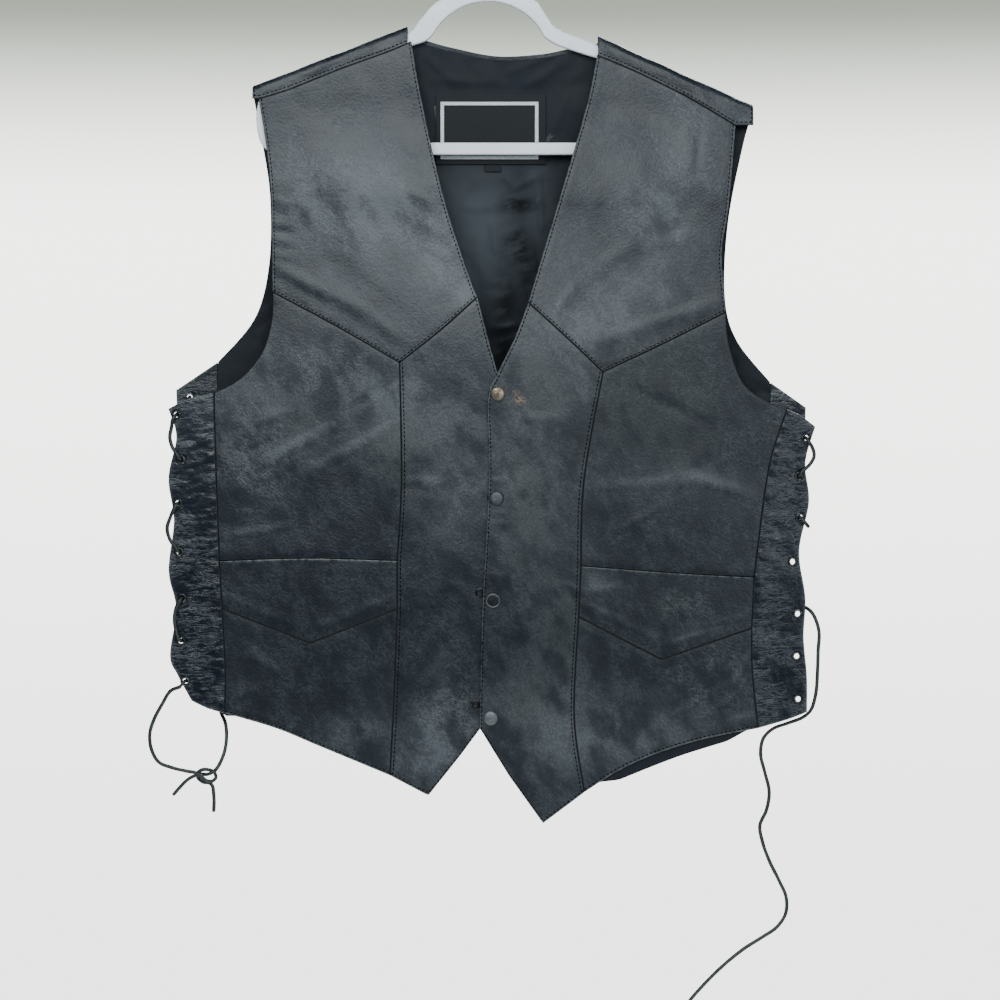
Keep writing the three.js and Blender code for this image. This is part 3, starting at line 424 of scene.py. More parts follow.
def closed_mesh(name, outer, inner, marks=None):
    """A closed wall from two grids of points; cells with a missing corner are left out."""
    rows, columns = outer.shape[:2]
    there = ~np.isnan(outer[..., 0])
    ids = np.full((rows, columns), -1)
    ids[there] = np.arange(there.sum())
    count = int(there.sum())
    a, b, c, d = ids[:-1, :-1], ids[:-1, 1:], ids[1:, 1:], ids[1:, :-1]
    cells = (a >= 0) & (b >= 0) & (c >= 0) & (d >= 0)
    quads = np.stack([a[cells], b[cells], c[cells], d[cells]], axis=1)
    sides = np.concatenate([quads[:, [k, (k + 1) % 4]] for k in range(4)])
    keys = np.sort(sides, axis=1) @ np.array([count + 1, 1])
    _, first, uses = np.unique(keys, return_index=True, return_counts=True)
    rim = sides[first[uses == 1]]
    faces = np.concatenate([quads, quads[:, ::-1] + count,
                            np.stack([rim[:, 1], rim[:, 0], rim[:, 0] + count, rim[:, 1] + count], axis=1)])
    verts = np.concatenate([outer[there], inner[there]]) * MM
    volume = np.einsum("ij,ij->i", verts[faces[:, 0]],
                       np.cross(verts[faces[:, 1]], verts[faces[:, 2]])).sum()
    volume += np.einsum("ij,ij->i", verts[faces[:, 0]],
                        np.cross(verts[faces[:, 2]], verts[faces[:, 3]])).sum()
    if volume < 0:
        faces = faces[:, ::-1]
    obj = new_object(name, verts, faces)
    for key, grid in (marks or {}).items():
        add_mark(obj, key, np.concatenate([grid[there], grid[there]]))
    return obj


def add_mark(obj, name, values):
    """A value at each point of a mesh, for its material to read."""
    obj.data.attributes.new(name, "FLOAT", "POINT").data.foreach_set("value",
                                                                     np.asarray(values, np.float32))


def new_object(name, verts, faces, smooth_faces=True):
    mesh = bpy.data.meshes.new(name)
    mesh.from_pydata([tuple(v) for v in np.asarray(verts, float)], [],
                     [tuple(int(i) for i in f) for f in faces])
    mesh.polygons.foreach_set("use_smooth", [smooth_faces] * len(mesh.polygons))
    mesh.update()
    obj = bpy.data.objects.new(name, mesh)
    bpy.context.scene.collection.objects.link(obj)
    return obj


STITCH_PITCH = 3.6
STITCH_LONG = 2.6
STITCH_WIDE = 0.9


def capsule(sides=6):
    """A small thread stitch along x: rings of points and faces, of length 1 and width 1."""
    rings = [(-0.5, 0.25), (-0.3, 1.0), (0.3, 1.0), (0.5, 0.25)]
    verts = [(x, r * 0.5 * math.cos(2 * math.pi * k / sides), r * 0.5 * math.sin(2 * math.pi * k / sides))
             for x, r in rings for k in range(sides)]
    faces = [(i * sides + k, i * sides + (k + 1) % sides, (i + 1) * sides + (k + 1) % sides,
              (i + 1) * sides + k)
             for i in range(len(rings) - 1) for k in range(sides)]
    faces += [tuple(range(sides))[::-1], tuple(3 * sides + k for k in range(sides))]
    return np.array(verts), faces


def stitches(name, centres, tangents, normals):
    """One mesh of all the stitches of a panel."""
    shape, faces = capsule()
    binormals = np.cross(normals, tangents)
    verts, all_faces = [], []
    for i, (c, t, b, n) in enumerate(zip(centres, tangents, binormals, normals)):
        lean = 0.10 * math.sin(i * 2.1)
        along = t + lean * b
        local = (shape[:, :1] * STITCH_LONG * along + shape[:, 1:2] * STITCH_WIDE * b + shape[:, 2:]
                 * STITCH_WIDE * 0.75 * n)
        verts.append(c + local + 0.12 * n)
        all_faces += [tuple(k + i * len(shape) for k in f) for f in faces]
    return new_object(name, np.vstack(verts) * MM, all_faces)


def inset_line(points, normals, side, inset):
    """A line on the surface at a distance from one side, with its normals."""
    turned = {
        "top": lambda g: g,
        "bottom": lambda g: g[::-1],
        "left": lambda g: np.swapaxes(g, 0, 1),
        "right": lambda g: np.swapaxes(g, 0, 1)[::-1],
    }[side]
    p, n = turned(points), turned(normals)
    p, n = p[:24], n[:24]
    run = np.concatenate([np.zeros((1, p.shape[1])),
                          np.cumsum(np.linalg.norm(np.diff(p, axis=0), axis=-1), axis=0)])
    row = np.clip((run < inset).sum(axis=0) - 1, 0, len(p) - 2)
    column = np.arange(p.shape[1])
    low, high = run[row, column], run[row + 1, column]
    part = ((inset - low) / np.maximum(high - low, 1e-9))[:, None]
    line = p[row, column] * (1 - part) + p[row + 1, column] * part
    normal = n[row, column] * (1 - part) + n[row + 1, column] * part
    kept = ~np.isnan(line[:, 0]) & ~np.isnan(normal[:, 0])
    return line[kept], normal[kept]


def stitch_spots(line, normal, trim):
    """Centres, directions and normals of the stitches along a line."""
    run = np.concatenate([[0], np.cumsum(np.linalg.norm(np.diff(line, axis=0), axis=1))])
    count = int((run[-1] - 2 * trim) / STITCH_PITCH)
    if count < 2:
        return None
    at = np.linspace(trim, run[-1] - trim, count)
    p = np.stack([np.interp(at, run, line[:, k]) for k in range(3)], axis=1)
    n = np.stack([np.interp(at, run, normal[:, k]) for k in range(3)], axis=1)
    t = np.gradient(p, axis=0)
    return p, t / np.linalg.norm(t, axis=1, keepdims=True), n / np.linalg.norm(n, axis=1, keepdims=True)


def sew(name, points, normals, rows):
    """The stitches of a piece: rows gives each row's side, distance and trim at its ends."""
    spots = [stitch_spots(*inset_line(points, normals, side, inset), trim) for side, inset, trim in rows]
    spots = [spot for spot in spots if spot]
    if not spots:
        return None
    return stitches(name + "_stitches", *(np.vstack([spot[k] for spot in spots]) for k in range(3)))


class Panel:
    """A sewn panel: its grid, its outer and inner points, and its stitches."""

    def __init__(self, name, borders, face, outward, edges, seed, step=2.7, thick=LEATHER, extra=None,
                 under=0.0, base=1.0, gap=-0.3, holes=(), crease=0.35):
        top, bottom, left, right = borders
        self.name, self.edges = name, edges
        self.u = graded((top.length + bottom.length) / 2, step)
        self.v = graded((left.length + right.length) / 2, step)
        grid = drawn_in(coons(top, bottom, left, right, self.u, self.v), gap)
        distances, down, over = runs(grid)
        self.area = abs(shoelace(np.vstack([grid[0], grid[1:, -1], grid[-1, -2::-1], grid[-2:0:-1, 0]])))
        self.size = (np.ptp(grid[..., 0]), np.ptp(grid[..., 1]))
        grid, gone = with_holes(grid, holes)
        x, z = grid[..., 0], grid[..., 1]
        flat = np.stack([x, face(x, z), z], axis=-1)
        normal = normals_of(flat, outward)
        height = base * base_relief(x, z, seed)
        if extra is not None:
            height = height + extra(x, z)
        for hx, hz in holes:
            height = height * smooth(np.hypot(x - hx, z - hz) / 9 - 0.5)
        relief = edge_relief(distances, {"top": over, "bottom": over, "left": down, "right": down}, edges,
                             seed + 5)
        for hx, hz in holes:
            relief = relief * smooth(np.hypot(x - hx, z - hz) / 3 - 1.2)
        self.outer = flat + normal * (height + relief - under)[..., None]
        self.normal = normals_of(self.outer, outward)
        self.inner = flat + normal * (height * 0.8 - under - thick)[..., None]
        self.outer[gone] = self.inner[gone] = np.nan
        # The worn mark holds pale wear above 0 and painted seam shade below 0
        worn = np.zeros(x.shape)
        for side, edge in edges.items():
            worn += edge.wear(distances[side])
        # The pale mark holds painted sheen and dry places
        self.marks = {"worn": worn, "crease": spots_at(CREASED, x, z, crease),
                      "rubbed": spots_at(RUBBED_SPOTS, x, z),
                      "pale": sheen_and_dry_at(x, z), "scuff": spots_at(SCUFFS, x, z)}

    def make(self):
        return closed_mesh(self.name, self.outer, self.inner, self.marks)

    def sew(self):
        rows = [(side, inset, inset) for side, edge in self.edges.items() for inset in edge.rows]
        return sew(self.name, self.outer, self.normal, rows)


def with_holes(grid, holes):
    """Opens a round hole in the grid at each place; returns the grid and which points are gone."""
    grid = grid.copy()
    gone = np.zeros(grid.shape[:2], bool)
    for hole in holes:
        away = np.linalg.norm(grid - hole, axis=-1)
        inside = away < EYELET_CUT * 0.8
        gone |= inside
        ring = np.zeros_like(inside)
        ring[1:] |= inside[:-1]
        ring[:-1] |= inside[1:]
        ring[:, 1:] |= inside[:, :-1]
        ring[:, :-1] |= inside[:, 1:]
        ring[1:, 1:] |= inside[:-1, :-1]
        ring[:-1, :-1] |= inside[1:, 1:]
        ring[1:, :-1] |= inside[:-1, 1:]
        ring[:-1, 1:] |= inside[1:, :-1]
        ring &= ~inside
        grid[ring] = hole + (grid[ring] - hole) * (EYELET_CUT / away[ring])[:, None]
    return grid, gone


def spots_at(table, x, z, least=0.0):
    """How strong a table's soft spots are at x, z, from 0 to 1."""
    total = np.full(x.shape, least)
    for cx, cz, wide, tall, amount in table:
        total = np.maximum(total, amount * np.exp(-(((x - cx) / wide) ** 2) - ((z - cz) / tall) ** 2))
    return total


# Creased places of the fronts: centre x, z, half width, half height, amount
CREASED = [
    (-140, -230, 55, 70, 0.8),
    (-60, -300, 40, 60, 0.6),
    (160, -220, 60, 70, 0.9),
    (90, -320, 40, 50, 0.6),
    (-205, -480, 45, 60, 1.0),
    (-150, -400, 70, 40, 0.8),
    (150, -410, 70, 50, 0.7),
    (210, -470, 50, 50, 0.5),
    (-35, -700, 35, 50, 0.9),
    (190, -670, 45, 40, 0.9),
    (160, -606, 60, 20, 0.8),
    (-250, -560, 25, 200, 1.0),
    (250, -580, 30, 200, 1.0),
]
# Places of the right front rubbed to an olive grey
RUBBED_SPOTS = [
    (45, -410, 30, 36, 0.9),
    (30, -520, 26, 60, 0.7),
    (60, -620, 22, 60, 0.5),
    (40, -690, 30, 40, 0.4),
    (-75, -470, 40, 40, 0.6),
    (-170, -440, 50, 40, 0.35),
    (140, -440, 60, 70, 0.5),
    (150, -608, 46, 18, 0.35),
    (190, -690, 40, 26, 0.25),
]
# Brassy scrape beside the top snap
SCUFFS = [
    (25.5, -430.5, 5.0, 2.6, 1.0),
    (22.0, -424.5, 4.0, 1.6, 0.55),
]
# Painted sheen of the leather, where the light falls on it, and dry places: centre x, z, half width, half height,
# amount
SHEEN_AND_DRY_SPOTS = [
    (-124, -256, 52, 54, 0.84),
    (-100, -266, 40, 26, 0.4),
    (-86, -270, 30, 30, 0.42),
    (-44, -296, 26, 46, 0.55),
    (-172, -248, 22, 34, 0.35),
    (-20, -342, 11, 13, 0.9),
    (-43, -318, 20, 15, 0.45),
    (-60, -450, 46, 46, 0.6),
    (-88, -425, 34, 20, 0.22),
    (-140, -415, 75, 50, 0.4),
    (-210, -455, 46, 60, 0.35),
    (-32, -520, 24, 26, 0.45),
    (-62, -500, 22, 5, 0.2),
    (-50, -730, 34, 30, 0.7),
    (-110, -720, 46, 22, 0.3),
    (-42, -668, 8, 22, 0.2),
    (168, -196, 20, 50, 0.45),
    (146, -264, 38, 40, 0.75),
    (124, -330, 46, 22, 0.3),
    (150, -344, 26, 15, 0.4),
    (96, -362, 46, 20, 0.7),
    (70, -300, 26, 60, 0.22),
    (50, -402, 38, 34, 0.7),
    (82, -425, 5, 18, 0.35),
    (44, -447, 20, 6, 0.35),
    (28, -500, 36, 56, 0.55),
    (50, -522, 14, 8, 0.25),
    (118, -498, 64, 16, 0.3),
    (200, -500, 50, 12, 0.12),
    (40, -600, 36, 40, 0.2),
    (90, -586, 12, 8, 0.3),
    (48, -712, 50, 52, 0.42),
    (125, -722, 60, 22, 0.5),
    (175, -196, 3, 40, 0.2),
]


# Creases with a painted highlight on their backs, partly rubbed pale: x0, z0, x1, z1 of the line, its width and
# its amount
CREASE_SHEEN_AND_WEAR = [
    (-204, -487, -137, -453, 7, 0.55),
    (-159, -493, -79, -449, 7, 0.4),
    (-159, -482, -130, -491, 5, 0.35),
    (-229, -546, -171, -537, 4, 0.35),
    (-229, -598, -156, -626, 3.4, 0.3),
    (-156, -626, -81, -597, 3.4, 0.3),
    (-216, -640, -186, -662, 5, 0.2),
    (95, -610, 150, -637, 3.6, 0.35),
    (150, -637, 206, -625, 3.6, 0.4),
    (80, -592, 112, -588, 5, 0.35),
    (206, -676, 222, -649, 5, 0.35),
    (203, -705, 228, -699, 5, 0.3),
    (166, -493, 204, -503, 7, 0.35),
    (196, -497, 228, -513, 6, 0.25),
    (56, -352, 78, -330, 6, 0.4),
]


def sheen_and_dry_at(x, z):
    """How pale the leather is at x, z: the painted sheen and dry spots and the crease backs add up."""
    total = fold_height(CREASE_SHEEN_AND_WEAR, x, z)
    for cx, cz, wide, tall, amount in SHEEN_AND_DRY_SPOTS:
        total += amount * np.exp(-(((x - cx) / wide) ** 2) - ((z - cz) / tall) ** 2)
    return np.clip(total, 0, 1.3)


def shoelace(loop):
    x, y = loop[:, 0], loop[:, 1]
    return 0.5 * float(np.sum(x * np.roll(y, -1) - np.roll(x, -1) * y))


def dress(obj, node, paint, cloth=None):
    """Puts a piece on the body, in its material, in place of its node."""
    obj.data.materials.append(paint)
    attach(obj, BODY)
    if node:
        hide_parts(*([node] if isinstance(node, str) else node))
    return obj


# The back: armholes, side seams, strip edges, neck rim and the folds over the hanger's arms
BACK = {
    "left": {
        "armhole": [(-205, -165.3), (-196.6, -208.8), (-190.2, -255), (-191.3, -312.9), (-203.8, -359),
                    (-236, -397)],
        "seam": [(-236, -397), (-234.5, -500), (-230, -610), (-228, -703)],
        "strip_edge": [(-271.6, -421), (-269.5, -480), (-270, -560), (-267, -630), (-255.5, -686)],
    },
    "right": {
        "armhole": [(227.1, -181.5), (218.9, -208.9), (206, -275), (203, -337.6), (213, -377),
                    (243, -414.5)],
        "seam": [(243, -414.5), (238, -500), (229, -610), (230, -706)],
        "strip_edge": [(273.2, -436), (271.5, -480), (268, -535), (258, -566), (258.5, -630), (259, -698)],
    },
    "neck_rim": [(-71, -113.4), (-54.4, -118.8), (-31.3, -125), (6, -132), (43.5, -130.3), (66, -126.2),
                 (93, -122.2)],
    "fold_left": [(-205, -158.8), (-71, -106.6)],
    "fold_right": [(93, -115.4), (227.1, -175)],
    "hem": [(-228, -703), (0, -706), (230, -706)],
}
SHOULDER_CELLS = 5
NECK_CELLS = 7

# Eyelets from the top down
EYELETS = {
    "left": {
        "front": [(-270.4, -442.5), (-266.4, -481.2), (-269, -518.7), (-268, -560.7), (-265.5, -600.6),
                  (-266.4, -637.4), (-262.7, -672)],
        "back": [(-260, -427), (-261.5, -479), (-262.5, -515), (-262, -557), (-260.5, -597), (-260, -634),
                 (-254, -668)],
    },
    "right": {
        "front": [(272.2, -462.5), (266.3, -495.4), (267.2, -530.9), (260.6, -569.1), (265, -614),
                  (264.2, -650.5), (265.5, -687.4)],
        "back": [(265.5, -455), (264.5, -491), (262, -527), (250.5, -573), (251, -611), (251.3, -648),
                 (251.5, -684)],
    },
}
EYELET_CUT = 3.2
SNAP_CAPS = [(6.8, -425), (5.8, -514.3), (2.6, -602), (0.6, -703)]
SNAP_STUDS = [(2.6, -425.5), (1.8, -513.8), (-8.5, -595), (-12.2, -691.3)]
LABEL = (-46.9, 48.2, -225, -165.4, 0.7)
SIZE_TAB = (-4.8, 9.5, -231.5, -225.6, 0.6)
FACING = [(84, -763.5, -768.6), (114.5, -746.5, -755.4), (158.9, -729, -738), (191.9, -719.8, -727.5),
          (221, -714.2, -719.0), (231, -712.3, -714.5)]
FACING_TOP = LEATHER + LAYER_GAP + 0.2
LINING_TOP = LEATHER + LAYER_GAP
LABEL_TOP = LINING_TOP + LINING + LAYER_GAP + 0.3


def line_at(ends, x):
    (x0, z0), (x1, z1) = ends
    return z0 + (z1 - z0) * (x - x0) / (x1 - x0)


class Socket:
    """A value in a shader, with ordinary arithmetic."""

    def __init__(self, shader, out):
        self.shader, self.out = shader, out

    def math(self, operation, *others):
        return self.shader.node("ShaderNodeMath", {"operation": operation}, [self, *others])

    def __add__(self, other):
        return self.math("ADD", other)

    def __radd__(self, other):
        return self.math("ADD", other)

    def __sub__(self, other):
        return self.math("SUBTRACT", other)

    def __rsub__(self, other):
        return self.shader.node("ShaderNodeMath", {"operation": "SUBTRACT"}, [other, self])

    def __mul__(self, other):
        return self.math("MULTIPLY", other)

    def __rmul__(self, other):
        return self.math("MULTIPLY", other)

    def __truediv__(self, other):
        return self.math("DIVIDE", other)

    def __neg__(self):
        return self.math("MULTIPLY", -1.0)

    def __abs__(self):
        return self.math("ABSOLUTE")

    def least(self, other):
        return self.math("MINIMUM", other)

    def most(self, other):
        return self.math("MAXIMUM", other)

    def step(self, low, high):
        """0 at low and 1 at high, with a soft step between."""
        settings = {"interpolation_type": "SMOOTHSTEP"}
        sockets = {"Value": self, "From Min": low, "From Max": high, "To Min": 0.0, "To Max": 1.0}
        return self.shader.node("ShaderNodeMapRange", settings, sockets, "Result")


class Shader:
    """The nodes of a material or of the world."""

    def __init__(self, name, shown=(0.1, 0.1, 0.1), owner=None):
        self.owner = owner or bpy.data.materials.new(name)
        self.owner.use_nodes = True
        if not owner:
            self.owner.diffuse_color = (*shown, 1.0)
        self.tree = self.owner.node_tree
        self.tree.nodes.clear()

    def put(self, socket, value):
        if isinstance(value, Socket):
            self.tree.links.new(value.out, socket)
        elif isinstance(value, (tuple, list)) and len(value) == 3 and socket.type == "RGBA":
            socket.default_value = (*value, 1.0)
        else:
            socket.default_value = value

    def node(self, kind, settings=None, sockets=None, out=0):
        made = self.tree.nodes.new(kind)
        for key, value in (settings or {}).items():
            setattr(made, key, value)
        pairs = sockets.items() if isinstance(sockets, dict) else enumerate(sockets or [])
        for key, value in pairs:
            self.put(made.inputs[key], value)
        return Socket(self, made.outputs[out] if made.outputs else None)

    def place(self):
        return self.node("ShaderNodeTexCoord", out="Object")

    def stretched(self, place, scale, turn=0.0):
        turned = self.node("ShaderNodeVectorRotate", {"rotation_type": "Y_AXIS"},
                           {"Vector": place, "Angle": turn})
        return self.node("ShaderNodeVectorMath", {"operation": "MULTIPLY"}, [turned, scale])

    def noise(self, place, scale, detail=2.0, roughness=0.5, distortion=0.0):
        sockets = {"Vector": place, "Scale": scale, "Detail": detail, "Roughness": roughness,
                   "Distortion": distortion}
        return self.node("ShaderNodeTexNoise", None, sockets, 0)

    def cells(self, place, scale):
        return self.node("ShaderNodeTexVoronoi", None, {"Vector": place, "Scale": scale}, "Distance")

    def mark(self, name):
        return self.node("ShaderNodeAttribute", {"attribute_name": name}, None, "Fac")

    def line(self, noise, sharp):
        """Thin lines where a noise crosses its middle."""
        return 1.0 - (abs(noise - 0.5) * sharp).least(1.0)

    def mix(self, factor, low, high):
        made = self.tree.nodes.new("ShaderNodeMix")
        made.data_type = "RGBA"
        self.put(made.inputs[0], factor)
        self.put(made.inputs[6], low)
        self.put(made.inputs[7], high)
        return Socket(self, made.outputs[2])

    def bump(self, height, distance, strength):
        sockets = {"Height": height, "Distance": distance, "Strength": strength}
        return self.node("ShaderNodeBump", None, sockets)

    def finish(self, **sockets):
        """Closes the material with a Principled shader whose sockets are given by name."""
        named = {key.replace("_", " ").title().replace("Ior", "IOR"): value for key,
                 value in sockets.items()}
        shader = self.node("ShaderNodeBsdfPrincipled", None, named)
        self.node("ShaderNodeOutputMaterial", None, [shader])
        return self.owner


# Painted sheen of the lining, and painted shade of its hollows
LINING_SHEEN_COLOUR = (0.040, 0.048, 0.055)
LINING_SHADE_COLOUR = (0.0006, 0.0009, 0.0014)
RUBBED = (0.024, 0.0275, 0.023)
SCUFF_COLOUR = (0.30, 0.21, 0.13)
# Painted shade of the seam grooves and the pocket slit
SEAM_SHADE_COLOUR = (0.0004, 0.0005, 0.0007)


def leather_material(colour, sheen_and_dry_colour, worn_colour, sheen):
    """Black leather: grain, soft creases, dry places and painted sheen, painted highlights on crease ridges, worn
    edges and painted shade in the seams.
    """
    s = Shader("black_leather", colour)
    place = s.place()
    crease, pale = s.mark("crease"), s.mark("pale")
    cloud = s.noise(place, 16.0, 4.0, 0.6)
    patchy = s.noise(s.stretched(place, (1.0, 1.0, 0.6), 0.5), 60.0, 3.0, 0.55)
    pebble = s.cells(place, 430.0)
    fine = s.noise(place, 1300.0, 2.0)
    ridge = s.noise(place, 230.0, 4.0, 0.6, 0.6)
    across = s.mark("across")
    bent = s.noise(s.stretched(place, (1.0, 1.0, 1.6), -0.5), 130.0, 2.0, 0.5, 0.9)
    cracked = s.noise(s.stretched(place, (1.4, 1.0, 1.0), 0.7), 200.0, 2.0, 0.5, 1.0)
    banded = s.noise(s.stretched(place, (0.5, 1.0, 1.9), 0.05), 160.0, 2.0, 0.5, 1.1)
    web = (s.line(bent, 14.0) + s.line(cracked, 16.0) * 0.7) * crease * (1.0 - across) + s.line(banded,
            11.0) * across
    web = web * (0.15 + patchy.step(0.36, 0.6) * 0.85)
    grain = 1.0 - pebble.step(0.15, 0.6)
    mottle = (0.25 + cloud.step(0.3, 0.7) * 0.6 + patchy.step(0.35, 0.65) * 0.9) * (0.7 + grain * 0.55)
    # Painted sheen and dry places from the pale mark, mottled
    sheen_and_dry_tone = (pale * mottle).least(1.0)
    worn = s.mark("worn").most(0.0) * s.noise(place, 210.0, 3.0).step(0.28, 0.64)
    seam = (-s.mark("worn")).step(0.1, 0.7)
    rubbed = s.mark("rubbed") * patchy.step(0.3, 0.65)
    scuff = s.mark("scuff") * s.noise(place, 420.0, 4.0, 0.7).step(0.42, 0.58)
    shade = s.mix(cloud.step(0.35, 0.75) * 0.4 + patchy.step(0.4, 0.75) * 0.4, colour,
                  tuple(c * 1.8 + 0.001 for c in colour))
    # Pale crease lines are painted highlights on the crease ridges, partly rubbed wear
    shade = s.mix((sheen_and_dry_tone + web * (0.55 - across * 0.12)).least(1.0), shade, sheen_and_dry_colour)
    shade = s.mix((rubbed * 0.75).least(1.0), shade, RUBBED)
    shade = s.mix((worn * 0.9).least(1.0), shade, worn_colour)
    shade = s.mix(scuff.least(1.0), shade, SCUFF_COLOUR)
    # Painted shade in the seam grooves and the pocket slit
    shade = s.mix(seam, shade, SEAM_SHADE_COLOUR)
    relief = web * 0.9 + ridge * (0.22 + crease * 0.16) + fine * 0.1 - pebble * 0.8
    rough = 0.31 + patchy * 0.15 + cloud * 0.06 + worn * 0.15 + rubbed * 0.1 + seam * 0.4 - across * 0.12
    return s.finish(base_color=shade, roughness=rough, normal=s.bump(relief, 0.00017, 0.8),
                    specular_ior_level=sheen)


def lining_material(colour):
    """Satin lining: very fine weave with a soft sheen, painted sheen in its middle and painted shade in its
    hollows.
    """
    s = Shader("lining_cloth", colour)
    place = s.place()
    weave = {"Vector": place, "Scale": 900.0, "Distortion": 0.4}
    across = s.node("ShaderNodeTexWave", {"wave_type": "BANDS", "bands_direction": "X"}, weave)
    down = s.node("ShaderNodeTexWave", {"wave_type": "BANDS", "bands_direction": "Z"}, weave)
    cloud = s.noise(place, 30.0, 4.0, 0.6)
    # Painted shade in the lining's hollows, broken up by noise
    hollow_shade = s.mark("hollow_shade") * s.noise(s.stretched(place, (0.6, 1.0, 1.4), 0.3), 85.0, 3.0, 0.6).step(0.36,
            0.56)
    shade = s.mix(cloud.step(0.3, 0.8), colour, tuple(c * 1.7 for c in colour))
    # Painted sheen where the lining catches the light
    shade = s.mix(s.mark("lining_sheen") * (0.6 + cloud * 0.6), shade, LINING_SHEEN_COLOUR)
    shade = s.mix(hollow_shade, shade, LINING_SHADE_COLOUR)
    rough = 0.45 + cloud * 0.2 + hollow_shade * 0.3
    return s.finish(base_color=shade, roughness=rough, normal=s.bump(across + down, 0.00004, 0.5),
                    specular_ior_level=0.24, sheen_weight=0.05, sheen_roughness=0.4)


def label_material(colour, name="label_weave"):
    s = Shader(name, colour)
    place = s.place()
    weave = s.cells(s.stretched(place, (1.0, 1.0, 0.5)), 1600.0)
    shade = s.mix(weave, tuple(c * 0.7 for c in colour), tuple(c * 1.6 for c in colour))
    return s.finish(base_color=shade, roughness=0.8, normal=s.bump(weave, 0.00008, 0.6))


def thread_material(colour):
    s = Shader("sewing_thread", colour)
    place = s.place()
    twist = s.noise(place, 2600.0, 1.0)
    shade = s.mix(twist, tuple(c * 0.6 for c in colour), tuple(c * 1.7 for c in colour))
    return s.finish(base_color=shade, roughness=0.8, normal=s.bump(twist, 0.00006, 0.5),
                    specular_ior_level=0.08)


def lace_material(colour):
    """Round leather lace: smooth with small cracks and scuffs."""
    s = Shader("lace_leather", colour)
    place = s.place()
    scuff = s.noise(place, 190.0, 4.0, 0.65)
    crack = s.noise(place, 900.0, 3.0, 0.6, 0.8)
    shade = s.mix(scuff.step(0.4, 0.75), colour, tuple(c * 2.1 for c in colour))
    return s.finish(base_color=shade, roughness=0.4 + scuff * 0.25,
                    normal=s.bump(scuff + crack * 0.6, 0.00022, 0.6))


def metal_material(name, colour, scuffed, shine, wear, rim_colour=None):
    """Worn metal; a cap's rim may have a colour of its own."""
    s = Shader(name, colour)
    place = s.place()
    patch = s.noise(place, 420.0, 4.0, 0.65)
    fine = s.noise(place, 2400.0, 2.0)
    shade = s.mix(patch.step(0.62 - wear * 0.4, 0.78 - wear * 0.3), colour, scuffed)
    shade = s.mix(s.mark("rim"), shade, rim_colour or colour)
    return s.finish(base_color=shade, roughness=shine + patch * 0.25, metallic=0.85,
                    normal=s.bump(patch + fine * 0.3, 0.00006, 0.4))


def plastic_material(colour):
    s = Shader("white_plastic", colour)
    place = s.place()
    cloud = s.noise(place, 26.0, 3.0)
    fine = s.noise(place, 900.0, 2.0)
    shade = s.mix(cloud.step(0.35, 0.75), colour, tuple(c * 0.93 for c in colour))
    return s.finish(base_color=shade, roughness=0.3 + cloud * 0.12, normal=s.bump(fine, 0.00005, 0.35),
                    subsurface_weight=0.06, subsurface_radius=(0.004, 0.004, 0.004))


PAINTS = {}


def paint(name):
    """A material by its name, made once from the colours in the side panel."""
    if name not in PAINTS:
        look = bpy.context.scene.vest_look
        makers = {
            "leather": lambda: leather_material(tuple(look.leather), tuple(look.pale), tuple(look.worn),
                                                look.shine),
            "lining": lambda: lining_material(tuple(look.lining)),
            "label": lambda: label_material(tuple(look.label)),
            "border": lambda: label_material((0.55, 0.56, 0.55), "label_border"),
            "thread": lambda: thread_material(tuple(look.thread)),
            "lace": lambda: lace_material(tuple(look.lace)),
            "eyelet": lambda: metal_material("dark_metal", tuple(look.eyelet), (0.2, 0.2, 0.2), 0.28, 0.3),
            "snap_worn": lambda: metal_material("worn_brass", (0.13, 0.10, 0.07), (0.42, 0.34, 0.25), 0.36,
                                                0.5,
                                                (0.12, 0.10, 0.08)),
            "snap_grey": lambda: metal_material("grey_metal", (0.085, 0.09, 0.094), (0.14, 0.145, 0.15),
                                                0.4, 0.3,
                                                (0.05, 0.052, 0.055)),
            "snap_ringed": lambda: metal_material("ringed_metal", (0.022, 0.024, 0.027), (0.07, 0.07, 0.07),
                                                  0.35, 0.2,
                                                  (0.13, 0.13, 0.13)),
            "snap_domed": lambda: metal_material("domed_metal", (0.12, 0.125, 0.13), (0.19, 0.195, 0.20),
                                                 0.4, 0.4),
            "snap_black": lambda: metal_material("black_metal", (0.02, 0.021, 0.023), (0.2, 0.19, 0.17),
                                                 0.3, 0.15),
            "plastic": lambda: plastic_material(tuple(look.plastic)),
        }
        PAINTS[name] = makers[name]()
    return PAINTS[name]


